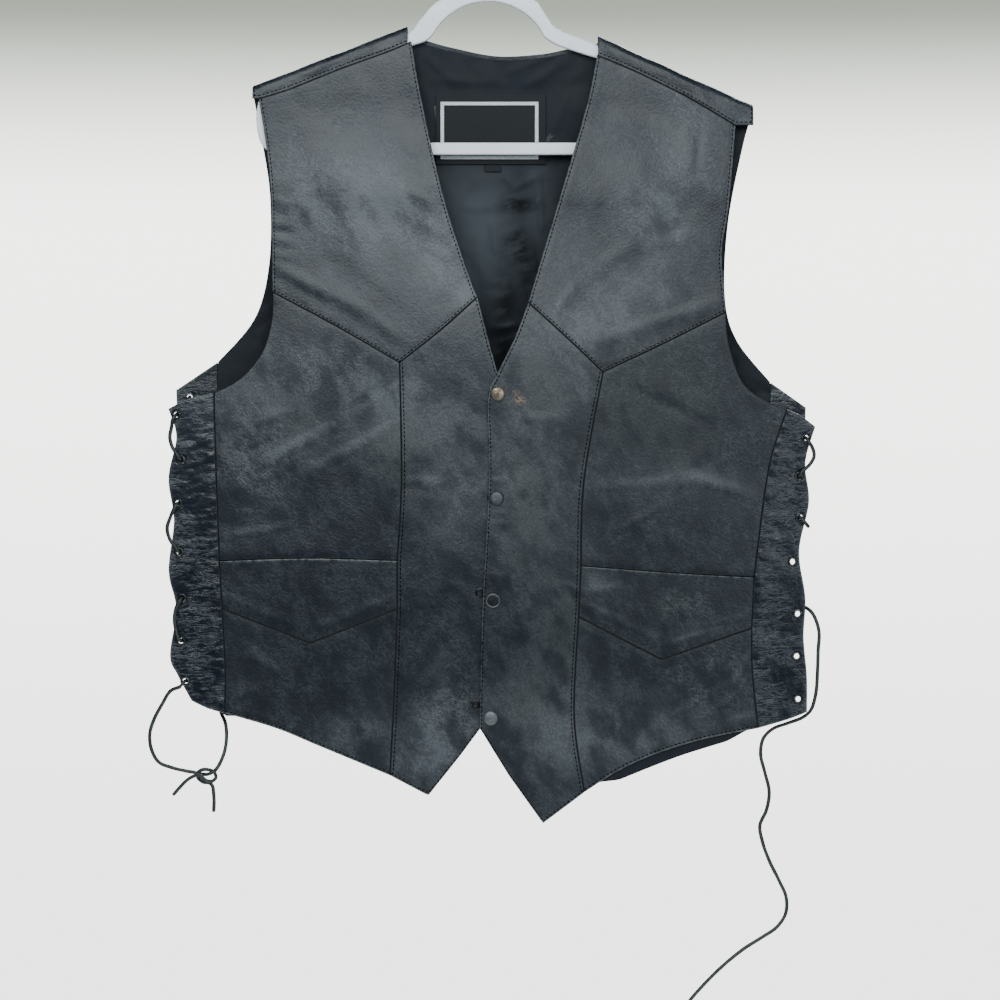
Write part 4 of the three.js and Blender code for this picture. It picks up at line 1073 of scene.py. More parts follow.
# Creases of each front: x0, z0, x1, z1 of the line, its width and its height
FRONT_CREASES = {
    "left": [
        (-185, -314, -125, -348, 8, 0.8),
        (-142, -329, -77, -378, 10, 0.8),
        (-120, -318, -60, -368, 6, -0.2),
        (-149, -240, -149, -280, 4, -0.6),
        (-112, -210, -132, -262, 7, 0.5),
        (-192, -256, -168, -262, 4, 0.3),
        (-190, -267, -172, -271, 4, -0.3),
        (-190, -277, -170, -281, 3.6, 0.25),
        (-190, -283, -168, -287, 3.6, -0.3),
        (-189, -291, -166, -295, 3.6, 0.3),
        (-189, -298, -172, -301, 3.6, -0.25),
        (-188, -305, -170, -308, 3.6, 0.25),
        (-78, -214, -58, -232, 6, 0.6),
        (-70, -250, -50, -262, 5, 0.6),
        (-62, -276, -42, -286, 5, 0.6),
        (-52, -300, -32, -310, 5, 0.7),
        (-122, -440, -90, -418, 6, -0.5),
        (-205, -452, -170, -438, 6, 0.5),
        (-215, -478, -182, -462, 5, -0.5),
        (-222, -508, -180, -492, 5, 0.5),
        (-70, -498, -40, -503, 4, 0.7),
        (-72, -504, -44, -511, 5, -0.5),
        (-231, -597, -155, -627, 3.2, 0.7),
        (-155, -627, -80, -597, 3.2, 0.7),
        (-150, -577, -82, -576, 2.6, 0.5),
        (-204, -487, -137, -453, 7, 0.8),
        (-159, -493, -79, -449, 7, 0.7),
        (-229, -546, -171, -537, 4, 0.5),
        (-212, -640, -180, -668, 7, 0.6),
        (-222, -688, -196, -676, 6, 0.5),
        (-120, -700, -92, -738, 8, 0.8),
        (-52, -726, -40, -700, 7, 0.8),
        (-62, -748, -50, -728, 6, -0.6),
        (-30, -716, -22, -690, 6, -0.7),
    ],
    "right": [
        (94, -380, 196, -346, 9, 0.9),
        (104, -394, 190, -360, 6, -0.3),
        (60, -350, 74, -330, 5, 0.7),
        (84, -326, 120, -296, 10, 0.6),
        (130, -300, 180, -286, 9, 0.4),
        (168, -160, 172, -230, 8, 0.6),
        (183, -178, 178, -236, 6, -0.5),
        (70, -184, 92, -190, 5, 0.5),
        (120, -420, 190, -452, 7, -0.4),
        (92, -506, 190, -498, 8, 0.6),
        (106, -545, 150, -520, 4, 0.35),
        (210, -470, 160, -500, 6, -0.4),
        (0, -500, 14, -500.5, 4, 0.7),
        (0, -528, 14, -527.5, 3.5, 0.6),
        (0, -537, 16, -536, 3.5, 0.7),
        (0, -581, 16, -582, 5, 0.5),
        (30, -446, 62, -445, 6, 0.6),
        (62, -588, 78, -594, 5, 0.6),
        (62, -600, 76, -601, 4, -0.5),
        (225, -614, 150, -638, 3.2, 0.7),
        (150, -638, 76, -603, 3.2, 0.7),
        (166, -493, 228, -512, 7, 0.7),
        (206, -676, 222, -649, 5, 0.7),
        (80, -578, 92, -596, 5, 0.6),
        (84, -610, 104, -628, 8, 0.6),
        (150, -700, 205, -668, 6, -0.5),
        (180, -706, 215, -682, 5, 0.5),
        (100, -700, 130, -738, 8, 0.5),
        (30, -750, 60, -700, 14, 0.7),
    ],
}


def extra_front(side):
    """Creases of one front, beyond the ones that its solid has."""
    def height(x, z):
        return fold_height(FRONT_CREASES[side], x, z)
    return height


def front_panels(side):
    """The five sewn panels of one front: name, borders, and how each side is sewn."""
    flip = side == "right"
    lines = seams_of(RIGHT if flip else LEFT)

    def border(*parts):
        made = Border(*parts)
        return made.reverse() if flip else made

    def panel(name, top, bottom, outer, inner, edges):
        sides = {"top": edges[0], "bottom": edges[1]}
        sides["right" if flip else "left"] = edges[2]
        sides["left" if flip else "right"] = edges[3]
        left, right = (inner, outer) if flip else (outer, inner)
        return f"{side}_{name}", (border(*top), border(*bottom), Border(*left), Border(*right)), sides

    n = lines
    return [
        panel("yoke", [(n["shoulder"], 6)], [(n["yoke_outer"], 6), (n["yoke_inner"], 3)],
              [(n["arm_upper"], 6)], [(n["neck"], 6)], (SEWN, LAPPED, FREE, FREE if flip else NECK)),
        panel("centre_panel", [(n["yoke_inner"], 3)], [(n["hem_centre"], 3)],
              [(n["centre_upper"], 6), (n["centre_mid"], 2), (n["centre_lower"], 5)],
              [(n["front_edge"], 13)],
              (SEWN, FREE, CENTRE, FREE)),
        panel("side_panel_upper", [(n["yoke_outer"], 6)], [(n["opening"], 6)],
              [(n["arm_lower"], 4), (n["strip_upper"], 6)], [(n["centre_upper"], 6)],
              (SEWN, OPENING, SEWN, SEWN)),
        panel("pocket", [(n["opening"], 6)], [(n["pocket_point"], 6)],
              [(n["strip_mid"], 2)], [(n["centre_mid"], 2)],
              (POCKET_SEWN if flip else POCKET_TOP, CHEVRON, SEWN, SEWN)),
        panel("side_panel_lower", [(n["pocket_point"], 6)], [(n["hem_side"], 6)],
              [(n["strip_lower"], 5)], [(n["centre_lower"], 5)], (SEWN, FREE, SEWN, SEWN)),
    ]


class VestLook(bpy.types.PropertyGroup):
    """Sizes and colours of the vest."""
    leather: bpy.props.FloatVectorProperty(
        name="Leather", description="Base colour of the leather", subtype="COLOR", size=3,
        min=0.0, max=1.0, default=(0.0026, 0.0048, 0.0082))
    # The pale colour is the leather's painted sheen and its dry places
    pale: bpy.props.FloatVectorProperty(
        name="Dry Leather", description="Colour where the leather is dry and pale", subtype="COLOR", size=3,
        min=0.0, max=1.0, default=(0.0700, 0.0770, 0.0840))
    worn: bpy.props.FloatVectorProperty(
        name="Worn Edge", description="Colour where the leather's edges have rubbed pale", subtype="COLOR",
        size=3,
        min=0.0, max=1.0, default=(0.140, 0.150, 0.150))
    lining: bpy.props.FloatVectorProperty(
        name="Lining", description="Colour of the lining", subtype="COLOR", size=3,
        min=0.0, max=1.0, default=(0.0024, 0.0043, 0.0078))
    label: bpy.props.FloatVectorProperty(
        name="Label", description="Colour of the neck label's cloth", subtype="COLOR", size=3,
        min=0.0, max=1.0, default=(0.0035, 0.0045, 0.0060))
    thread: bpy.props.FloatVectorProperty(
        name="Thread", description="Colour of the sewing thread", subtype="COLOR", size=3,
        min=0.0, max=1.0, default=(0.0016, 0.0021, 0.0028))
    lace: bpy.props.FloatVectorProperty(
        name="Laces", description="Colour of the lacing", subtype="COLOR", size=3,
        min=0.0, max=1.0, default=(0.0120, 0.0150, 0.0140))
    eyelet: bpy.props.FloatVectorProperty(
        name="Eyelets", description="Colour of the eyelets' metal", subtype="COLOR", size=3,
        min=0.0, max=1.0, default=(0.030, 0.032, 0.035))
    plastic: bpy.props.FloatVectorProperty(
        name="Hanger", description="Colour of the hanger's plastic", subtype="COLOR", size=3,
        min=0.0, max=1.0, default=(0.92, 0.93, 0.96))
    shine: bpy.props.FloatProperty(
        name="Shine", description="Strength of the leather's reflections", subtype="FACTOR",
        min=0.0, max=1.0, default=0.42)
    cell: bpy.props.FloatProperty(
        name="Cloth Cell", description="Distance between the points of the leather's surface",
        subtype="DISTANCE",
        unit="LENGTH", min=0.0015, max=0.02, default=0.0027)


class VEST_OT_fronts(bpy.types.Operator):
    """Make the sewn panels of both fronts"""
    bl_idname = "vest.fronts"
    bl_label = "Fronts"

    def execute(self, context):
        step = context.scene.vest_look.cell / MM
        for number, side in enumerate(("left", "right")):
            for name, borders, edges in front_panels(side):
                panel = Panel(name + "_leather", borders, FACES[side], -1, edges, 40 * number + 3,
                              step=step, extra=extra_front(side))
                sewn = panel.sew()
                obj = panel.make()
                if sewn:
                    dress(sewn, None, paint("thread"))
                dress(obj, name, paint("leather"), (*panel.size, panel.area))
        return {"FINISHED"}


def strip_relief(side, front):
    """The crosswise crinkles of a lace strip."""
    seed = {"left": 211, "right": 257}[side] + (0 if front else 17)

    def height(x, z):
        wide = crinkle(x, z, 20, 5.0, seed, 0.06) - 0.5
        small = crinkle(x, z, 8, 3.2, seed + 3, -0.1) - 0.5
        bend = lattice_noise(x, z, 24, 11, seed + 6)
        return 0.5 * wide + 0.42 * small + 0.3 * bend
    return height


def strip_panel(side, front, step):
    """A lace strip with its eyelet holes."""
    flip = side == "right"
    lines = seams_of(RIGHT if flip else LEFT)
    if front:
        seam = [(lines["strip_upper"], 12), (lines["strip_mid"], 4), (lines["strip_lower"], 10)]
        outer = [(lines["strip_edge"], 26)]
        top, bottom = lines["strip_top"], lines["strip_hem"]
        top = top if flip else top[::-1]
        bottom = bottom if flip else bottom[::-1]
    else:
        seam_line, edge_line = (spline(BACK[side][key], 160) for key in ("seam", "strip_edge"))
        seam, outer = [(seam_line, 10)], [(edge_line, 10)]
        ends = [np.linspace(edge_line[i], seam_line[i], 12) for i in (0, -1)]
        top, bottom = (end[::-1] if flip else end for end in ends)
    left, right = (seam, outer) if flip else (outer, seam)
    sides = {"top": FREE_BARE, "bottom": FREE_BARE}
    sides["left" if flip else "right"] = STRIP_SEAM
    sides["right" if flip else "left"] = FREE_BARE
    key = "front" if front else "back"
    face, outward = (FACES[side], -1) if front else (back_face, 1)
    borders = (Border((top, 1)), Border((bottom, 1)), Border(*left), Border(*right))
    panel = Panel(f"{side}_lace_strip_{key}_leather", borders, face, outward, sides, 61, step=step,
                  extra=strip_relief(side, front), base=0.4, holes=EYELETS[side][key], crease=1.0)
    panel.marks["across"] = np.ones_like(panel.marks["worn"])
    return panel


class VEST_OT_strips(bpy.types.Operator):
    """Make the four lace strips"""
    bl_idname = "vest.strips"
    bl_label = "Lace Strips"

    def execute(self, context):
        for side in ("left", "right"):
            for key in ("front", "back"):
                panel = strip_panel(side, key == "front", STRIP_CELL)
                dress(panel.make(), f"{side}_lace_strip_{key}", paint("leather"),
                      (*panel.size, panel.area))
        return {"FINISHED"}


def back_columns(step):
    """Shares across the back, close together at the armholes and at both ends of the neck."""
    total = 2 * SHOULDER_CELLS + NECK_CELLS
    shoulder = graded(146.0, step) * SHOULDER_CELLS
    neck = graded(164.0, step) * NECK_CELLS
    parts = [shoulder, neck[1:] + SHOULDER_CELLS, shoulder[1:] + SHOULDER_CELLS + NECK_CELLS]
    return np.concatenate(parts) / total


def back_borders():
    def lowered(ends):
        return np.linspace(*[(x, z - FOLD_RADIUS) for x, z in ends], 40)

    top = Border((lowered(BACK["fold_left"]), SHOULDER_CELLS), (spline(BACK["neck_rim"], 120), NECK_CELLS),
                 (lowered(BACK["fold_right"]), SHOULDER_CELLS))
    sides = [Border((spline(BACK[side]["armhole"], 160), 6), (spline(BACK[side]["seam"], 120), 9))
             for side in ("left", "right")]
    return top, Border((spline(BACK["hem"], 160), 1)), sides[0], sides[1]


BACK_CREASES = [
    (-150, -260, -90, -380, 12, 1.3),
    (160, -270, 100, -390, 12, 1.2),
    (-60, -150, -20, -230, 10, -1.0),
    (80, -160, 30, -240, 10, -1.0),
    (-200, -430, -130, -470, 9, 1.1),
    (205, -450, 120, -500, 9, 1.0),
    (-190, -640, -100, -600, 11, 1.1),
    (190, -650, 110, -600, 11, -1.1),
    (-30, -600, 40, -640, 14, 1.0),
]
WRAP_STEPS = 14
FLAP_SHARES = (0.25, 0.5, 0.7, 0.82, 0.9, 0.96, 1.0)


def back_relief(x, z):
    """Creases of the back, in the manner of the fronts' own."""
    return fold_height(BACK_CREASES, x, z) + 1.1 * base_relief(x, z, 71)


def back_surface(step):
    """The back's outer and inner points, from the front shoulder seams over the arms and down to the hem."""
    top, bottom, left, right = back_borders()
    u = back_columns(step)
    v = graded((left.length + right.length) / 2, step)
    grid = drawn_in(coons(top, bottom, left, right, u, v), 0.06)
    grid[0] = top(u)
    distances, down, over = runs(grid)
    x, z = grid[..., 0], grid[..., 1]
    cells = 2 * SHOULDER_CELLS + NECK_CELLS
    on_left, on_right = u <= SHOULDER_CELLS / cells + 1e-9, u >= 1 - SHOULDER_CELLS / cells - 1e-9
    shoulder = on_left | on_right
    near_top = 1 - smooth(distances["top"] / 16)
    y = back_face(x, z)
    y = np.where(shoulder, y + (FOLD_RADIUS - y) * near_top, y)
    flat = np.stack([x, y, z], axis=-1)
    normal = normals_of(flat, 1)
    edges = {"top": NECK_RIM, "bottom": FREE, "left": FREE, "right": FREE}
    free_top = {**distances, "top": np.where(shoulder, 99.0, distances["top"])}
    relief = edge_relief(free_top, {"top": over, "bottom": over, "left": down, "right": down}, edges, 77)
    height = back_relief(x, z) * smooth(distances["top"] / 20 + 0.1 * ~shoulder)
    outer = flat + normal * (height + relief)[..., None]
    inner = flat + normal * (height * 0.8 - LEATHER)[..., None]
    wraps = [wrap_points(top(u)[:, 0], on_left, shoulder, depth) for depth in (0.0, LEATHER)]
    wear = wrap_relief(wraps[0], u)
    outward = wraps[0] - wraps[1]
    outward /= np.maximum(np.linalg.norm(outward, axis=-1, keepdims=True), 1e-9)
    wraps[0] = wraps[0] + outward * wear[..., None]
    return np.concatenate([wraps[0], outer]), np.concatenate([wraps[1], inner]), distances, grid


def wrap_points(x, on_left, shoulder, depth):
    """Rows of points from the front shoulder seam, over the fold, down to the back's top row."""
    ridge = np.where(on_left, line_at(BACK["fold_left"], x), line_at(BACK["fold_right"], x))
    seams = [spline(table["shoulder"], 160) for table in (LEFT, RIGHT)]
    near = [np.interp(x, *(line[np.argsort(line[:, 0])].T)) for line in seams]
    seam = np.where(on_left, near[0], near[1])
    centre = ridge - FOLD_RADIUS
    end = np.minimum(seam + 0.05, centre - 1)
    r = FOLD_RADIUS - depth
    rows = []
    for k in range(1, WRAP_STEPS + 1):
        a = math.pi * k / WRAP_STEPS
        rows.append(np.stack([x, r * math.cos(a) + 0 * x, centre + r * math.sin(a)], axis=1))
    for share in FLAP_SHARES:
        z = centre + (end - centre) * share
        y = -r + (front_face(x, z) + depth + r) * smooth(share)
        rows.append(np.stack([x, y, z], axis=1))
    points = np.stack(rows[::-1])
    points[:, ~shoulder] = np.nan
    return points


def wrap_relief(points, u):
    """How a shoulder's wrap is dented, dipped at its seam and rolled at its ends."""
    run = np.cumsum(np.linalg.norm(np.diff(points, axis=0, prepend=points[:1]), axis=-1), axis=0)
    x = points[..., 0]
    near_end = np.minimum.reduce([np.abs(x - value) for value in (-205, -71, 93, 227.1)])
    dents = 0.5 * lattice_noise(x, run, 21, 9, 93) + 0.25 * lattice_noise(x, run, 8, 6, 94)
    dip = 0.4 * np.exp(-run / 1.6) + 0.2 * np.exp(-(((run - 2.8) / 0.8) ** 2))
    roll = 0.7 * (1 - np.sqrt(1 - np.clip(1 - near_end / 0.7, 0, 1) ** 2))
    return np.nan_to_num(dents * smooth(run / 4) - dip - roll)


LINING_INSET = 2.2
LINING_SHARE = 0.5


class VEST_OT_back(bpy.types.Operator):
    """Make the back, which goes over the hanger's arms, and its lining"""
    bl_idname = "vest.back"
    bl_label = "Back and Lining"

    def execute(self, context):
        step = context.scene.vest_look.cell / MM * BACK_CELL_SHARE
        outer, inner, distances, grid = back_surface(step)
        normal = outer - inner
        normal /= np.linalg.norm(normal, axis=-1, keepdims=True)
        rows = [(side, BACK_STITCH_INSET, BACK_STITCH_TRIM) for side in ("left", "right", "bottom")]
        sewn = sew("back_panel", outer, normal, rows)
        flap = sew_flap(outer, normal)
        worn = np.zeros(outer.shape[:2])
        below = len(outer) - len(grid)
        for side in ("left", "right", "bottom"):
            worn[below:] = np.maximum(worn[below:], np.exp(-distances[side] / 0.9))
        # The back takes the fronts' painted sheen and dry places, mirrored
        pale = BACK_SHEEN_AND_DRY_SHARE * sheen_and_dry_at(-outer[..., 0], outer[..., 2])
        marks = {"worn": worn, "crease": np.full(worn.shape, 0.55), "pale": pale}
        obj = closed_mesh("back_panel_leather", outer, inner, marks)
        for thread in (sewn, *flap):
            dress(thread, None, paint("thread"))
        area = sheet_area(outer)
        size = (np.nanmax(outer[..., 0]) - np.nanmin(outer[..., 0]), BACK_LENGTH)
        dress(obj, "back_panel", paint("leather"), (*size, area))
        self.lining(step)
        return {"FINISHED"}

    def lining(self, step):
        """The lining hangs inside the back, drawn in a little from its edges."""
        top, bottom, left, right = back_borders()
        u = LINING_INSET / 470 + (1 - 2 * LINING_INSET / 470) * graded(470, step)
        v = LINING_INSET / 570 + (LINING_SHARE - LINING_INSET / 570) * graded(300, step)
        flat = coons(top, bottom, left, right, u, v)
        x, z = flat[..., 0], flat[..., 1]
        face = back_face(x, z) - LINING_TOP
        height = lining_relief(x, z)
        outer = np.stack([x, face - height, z], axis=-1)
        inner = np.stack([x, face - height + LINING, z], axis=-1)
        # Marks for the lining's painted sheen and its painted shade
        marks = {"lining_sheen": spots_at(LINING_SHEEN_SPOTS, x, z), "hollow_shade": spots_at(LINING_SHADE_SPOTS, x, z)}
        obj = closed_mesh("back_lining_cloth", outer, inner, marks)
        size = (np.ptp(x), np.ptp(z))
        dress(obj, "back_lining", paint("lining"), (*size, sheet_area(outer)))


LINING_FOLDS = [
    (11, -233, 21, -246, 4, 1.8),
    (21, -246, 47, -231, 4, 2.0),
    (-26, -262, 11, -262, 3.5, 1.0),
    (-23, -243, -23, -262, 3.5, 0.8),
    (2, -275, 8, -318, 4, 1.3),
    (41, -240, 45, -280, 5, 1.6),
    (25, -305, 36, -304, 4, 2.4),
    (12, -287, 30, -280, 4, 1.4),
    (4, -367, 25, -364, 5, 2.0),
    (33, -285, 40, -330, 6, 1.6),
    (66, -136, 30, -160, 5, 0.9),
    (52, -132, 16, -146, 4, 0.7),
    (-56, -132, -34, -152, 5, 0.8),
    (72, -150, 56, -196, 4, 0.6),
    (-50, -152, 34, -158, 4, 0.6),
]
# Painted sheen on the lining, and painted shade in its hollows: centre x, z, half width, half height, amount
LINING_SHEEN_SPOTS = [
    (-8, -285, 34, 70, 1.0),
    (40, -262, 14, 44, 0.7),
    (-20, -250, 30, 24, 0.8),
]
LINING_SHADE_SPOTS = [
    (25, -260, 15, 8, 1.0),
    (25, -297, 11, 12, 1.0),
    (32, -322, 9, 18, 0.6),
    (14, -345, 12, 20, 0.8),
    (14, -385, 14, 32, 0.9),
]


def lining_relief(x, z):
    """Soft wrinkles of the loose lining; it stays clear of the label and the leather."""
    folds = fold_height(LINING_FOLDS, x, z)
    fine = 1.1 * (crinkle(x, z, 24, 38, 301, 0.3) - 0.4) + 0.45 * (crinkle(x, z, 10, 15, 305, -0.4) - 0.4)
    return np.clip(folds + fine + 0.4, 0.0, None) * smooth((z + 112) / -16) * (1 - 0.9 * flat_spot(x, z))


def flat_spot(x, z):
    """1 under the label and the size tab, fading to 0 around them."""
    x0, x1, z0, z1 = LABEL[:4]
    away = np.maximum(np.abs(x - (x0 + x1) / 2) - (x1 - x0) / 2,
                      np.abs(z - (z0 + z1) / 2) - (z1 - z0) / 2 - 3)
    return 1 - smooth(away / 10)


def sheet_area(points):
    """The area of one side of a sheet in square millimetres, from its grid of points."""
    a, b, c, d = points[:-1, :-1], points[:-1, 1:], points[1:, 1:], points[1:, :-1]
    area = np.linalg.norm(np.cross(c - a, d - b), axis=-1) / 2
    return float(np.nansum(area))


def sew_flap(outer, normal):
    """Stitches along the front shoulder seams, on the back's flaps."""
    threads = []
    for name, columns in (("left", outer[0, :, 0] < 0), ("right", outer[0, :, 0] > 0)):
        line, normals = inset_line(outer[:, columns], normal[:, columns], "top", SHOULDER_STITCH_INSET)
        spots = stitch_spots(line, normals, BACK_STITCH_TRIM)
        threads.append(stitches(f"{name}_shoulder_stitches", *spots))
    return threads


LABEL_LINE = (-41.35, 40.35, -219.5, -173.05)
LABEL_LINE_WIDE = 2.9
LABEL_LINE_THICK = 0.15


class VEST_OT_labels(bpy.types.Operator):
    """Make the plain neck label, the size tab and the hem facing"""
    bl_idname = "vest.labels"
    bl_label = "Labels and Facing"

    def execute(self, context):
        label, border = self.patch("neck_label", LABEL), self.frame()
        dress(border, None, paint("border"))
        x0, x1, z0, z1 = LABEL[:4]
        dress(label, "neck_label", paint("label"), (x1 - x0, z1 - z0, (x1 - x0) * (z1 - z0)))
        dress(self.patch("size_tab", SIZE_TAB), "size_tab", paint("label"))
        self.facing()
        return {"FINISHED"}

    def patch(self, name, spec):
        x0, x1, z0, z1, thick = spec
        borders = (Border((np.array([(x0, z1), (x1, z1)]), 1)), Border((np.array([(x0, z0), (x1, z0)]), 1)),
                   Border((np.array([(x0, z1), (x0, z0)]), 1)), Border((np.array([(x1, z1), (x1, z0)]), 1)))
        bare = Edge(roll=0.25, rows=(), pucker=0.1, swell=0.0)
        panel = Panel(name + "_cloth", borders, back_face, -1,
                      dict.fromkeys(("top", "bottom", "left", "right"), bare), 333,
                      step=1.6, thick=thick, under=-LABEL_TOP - thick, base=0.0, gap=0.0)
        return panel.make()

    def frame(self):
        """The pale woven line around the label, a little proud of it."""
        x0, x1, z0, z1 = LABEL_LINE
        lifts = ((0.5, 0.0), (0.5, LABEL_LINE_THICK), (-0.5, LABEL_LINE_THICK), (-0.5, 0.0))
        verts = []
        for k, share in itertools.product(range(4), np.linspace(0, 1, 25)[:-1]):
            for side, lift in lifts:
                grow = side * LABEL_LINE_WIDE
                corners = [(x0 - grow, z1 + grow), (x1 + grow, z1 + grow), (x1 + grow, z0 - grow),
                           (x0 - grow, z0 - grow)]
                (ax, az), (bx, bz) = corners[k], corners[(k + 1) % 4]
                x, z = ax + (bx - ax) * share, az + (bz - az) * share
                verts.append((x, float(back_face(x, z)) - LABEL_TOP - LABEL[4] - lift, z))
        total = len(verts) // 4
        faces = [(4 * i + k, 4 * i + (k + 1) % 4, 4 * ((i + 1) % total) + (k + 1) % 4,
                  4 * ((i + 1) % total) + k)
                 for i in range(total) for k in range(4)]
        return new_object("neck_label_border", np.array(verts) * MM, faces, False)

    def facing(self):
        """The lining strip that shows below the right front's hem."""
        low = spline([(x, z) for x, _, z in FACING], 80)
        high = spline([(x, hem + 5) for x, hem, _ in FACING], 80)
        ends = np.minimum(low[:, 0] - low[0, 0], low[-1, 0] - low[:, 0])
        hem = np.interp(low[:, 0], *np.array(FACING)[:, :2].T)
        low[:, 1] += (hem + 1 - low[:, 1]) * (1 - smooth(ends / 30))
        ends = [np.linspace(high[i], low[i], 6) for i in (0, -1)]
        bare = Edge(roll=0.35, rows=(), pucker=0.1, swell=0.0)
        sides = dict.fromkeys(("top", "left", "right"), bare)
        sides["bottom"] = Edge(roll=0.35, rows=(2.0,), pucker=0.25, worn=0.4, swell=0.1)
        panel = Panel("right_hem_facing_cloth",
                      (Border((high, 1)), Border((low, 1)), Border((ends[0], 1)), Border((ends[1], 1))),
                      right_face, -1, sides, 341, step=2.2, thick=LINING, under=FACING_TOP, base=0.3,
                      gap=0.0)
        dress(panel.make(), "right_hem_facing", paint("lining"),
              (length_of(low), FACING_DEPTH, panel.area))


def lathe(profile, sides):
    """Rings of points round z from rows of radius and height, and their faces; closed on itself or on the axis."""
    verts, rings = [], []
    for r, h in profile:
        if r < 1e-6:
            rings.append([len(verts)] * sides)
            verts.append((0.0, 0.0, h))
            continue
        rings.append([len(verts) + k for k in range(sides)])
        verts += [(r * math.cos(2 * math.pi * k / sides), r * math.sin(2 * math.pi * k / sides), h)
                  for k in range(sides)]
    closed = profile[0][0] > 1e-6
    faces = []
    for i in range(len(rings) - (0 if closed else 1)):
        low, high = rings[i], rings[(i + 1) % len(rings)]
        for k in range(sides):
            n = (k + 1) % sides
            face = [low[k], low[n], high[n], high[k]]
            faces.append(tuple(dict.fromkeys(face)))
    return np.array(verts), faces


def seat(face, place, reach=EYELET_FLANGE):
    """The point and outward normal of a flat spot on the cloth."""
    x, z = place

    def at(dx, dz):
        return np.array([x + dx, float(face(x + dx, z + dz)), z + dz])

    normal = np.cross(at(reach, 0) - at(-reach, 0), at(0, reach) - at(0, -reach))
    normal /= np.linalg.norm(normal)
    if normal[1] * float(face(x, z)) < 0:
        normal = -normal
    return at(0, 0), normal


def seated(verts, point, normal):
    """Turns points from z up to a seat's normal, and moves them there."""
    turn = Vector((0, 0, 1)).rotation_difference(Vector(normal))
    return np.array([point + np.array(turn @ Vector(v)) for v in verts])


def joined(name, shapes, smooth_faces=True):
    """One mesh of several sets of points and faces."""
    verts, faces, start = [], [], 0
    for v, f in shapes:
        verts.append(v)
        faces += [tuple(k + start for k in face) for face in f]
        start += len(v)
    return new_object(name, np.vstack(verts) * MM, faces, smooth_faces)


EYELET_PROFILE = [
    (2.3, -1.85), (2.3, 0.9), (2.42, 1.18), (2.7, 1.34), (3.1, 1.36), (3.55, 1.18), (3.95, 0.82),
    (4.2, 0.5), (4.3, 0.3),
    (4.25, 0.12), (3.2, 0.06), (2.8, -0.1), (2.75, -1.5), (3.0, -1.58), (3.8, -1.6), (3.95, -1.72),
    (3.8, -1.84), (2.6, -1.95),
]
EYELET_SIDES = 28


class VEST_OT_eyelets(bpy.types.Operator):
    """Make the rows of eyelets in the lace strips"""
    bl_idname = "vest.eyelets"
    bl_label = "Eyelets"

    def execute(self, context):
        ring, faces = lathe(EYELET_PROFILE, EYELET_SIDES)
        for side in ("left", "right"):
            for key in ("front", "back"):
                face = FACES[side] if key == "front" else back_face
                shapes = [(seated(ring, *seat(face, place)), faces) for place in EYELETS[side][key]]
                nodes = [f"{side}_eyelet_{key}_{i + 1}" for i in range(len(shapes))]
                dress(joined(f"{side}_eyelets_{key}", shapes), nodes, paint("eyelet"))
        return {"FINISHED"}


CAP_PROFILE = [
    (0, 1.55), (4.3, 1.5), (4.75, 1.4), (4.95, 1.28), (5.1, 1.42), (5.3, 1.8), (5.6, 2.0), (5.95, 1.86),
    (6.2, 1.4),
    (6.25, 0.6), (6.05, 0.42), (5.6, 0.36), (0, 0.36),
]
DOME_PROFILE = [
    (0, 2.4), (1.6, 2.36), (3.2, 2.2), (4.6, 1.9), (5.5, 1.5), (6.0, 1.1), (6.25, 0.7), (6.2, 0.5),
    (5.6, 0.36), (0, 0.36),
]
STUD_PROFILE = [
    (0, 1.1), (1.3, 1.1), (1.55, 1.55), (2.0, 1.62), (2.3, 1.4), (2.5, 0.95), (3.6, 0.85), (4.2, 0.75),
    (4.4, 0.55),
    (4.3, 0.36), (0, 0.36),
]
# Shape and finish of each snap cap, from the top down
CAP_FINISHES = (
    (CAP_PROFILE, "snap_worn"),
    (CAP_PROFILE, "snap_grey"),
    (CAP_PROFILE, "snap_ringed"),
    (DOME_PROFILE, "snap_domed"),
)
CAP_RIM = 4.9


class VEST_OT_snaps(bpy.types.Operator):
    """Make the snap caps of the right front and the studs of the left front"""
    bl_idname = "vest.snaps"
    bl_label = "Snaps"

    def execute(self, context):
        stud, stud_faces = lathe(STUD_PROFILE, 32)
        for i, (at, (profile, finish)) in enumerate(zip(SNAP_CAPS, CAP_FINISHES)):
            cap, faces = lathe(profile, 48)
            obj = joined(f"snap_cap_metal_{i + 1}",
                         [(seated(cap, *seat(right_face, at, CAP_RADIUS)), faces)])
            add_mark(obj, "rim", np.hypot(cap[:, 0], cap[:, 1]) > CAP_RIM)
            dress(obj, f"snap_cap_{i + 1}", paint(finish))
        for i, at in enumerate(SNAP_STUDS):
            shape = (seated(stud, *seat(left_face, at, STUD_RADIUS)), stud_faces)
            dress(joined(f"snap_stud_metal_{i + 1}", [shape]), f"snap_stud_{i + 1}",
                  paint("snap_black"))
        return {"FINISHED"}


def centripetal(points, step):
    """A smooth curve through points in space, at about even steps."""
    p = np.array(points, float)
    pad = np.vstack([2 * p[0] - p[1], p, 2 * p[-1] - p[-2]])
    out = []
    for i in range(len(p) - 1):
        q = pad[i:i + 4]
        gaps = np.maximum(np.sqrt(np.linalg.norm(np.diff(q, axis=0), axis=1)), 1e-3)
        t = np.concatenate([[0], np.cumsum(gaps)])
        n = max(2, int(math.ceil(np.linalg.norm(q[2] - q[1]) / step)))
        s = np.linspace(t[1], t[2], n, endpoint=False)[:, None]
        a = [(t[k + 1] - s) / gaps[k] * q[k] + (s - t[k]) / gaps[k] * q[k + 1] for k in range(3)]
        b = [(t[k + 2] - s) / (t[k + 2] - t[k]) * a[k] + (s - t[k]) / (t[k + 2] - t[k]) * a[k + 1]
             for k in range(2)]
        out.append((t[2] - s) / gaps[1] * b[0] + (s - t[1]) / gaps[1] * b[1])
    return np.vstack(out + [p[-1:]])


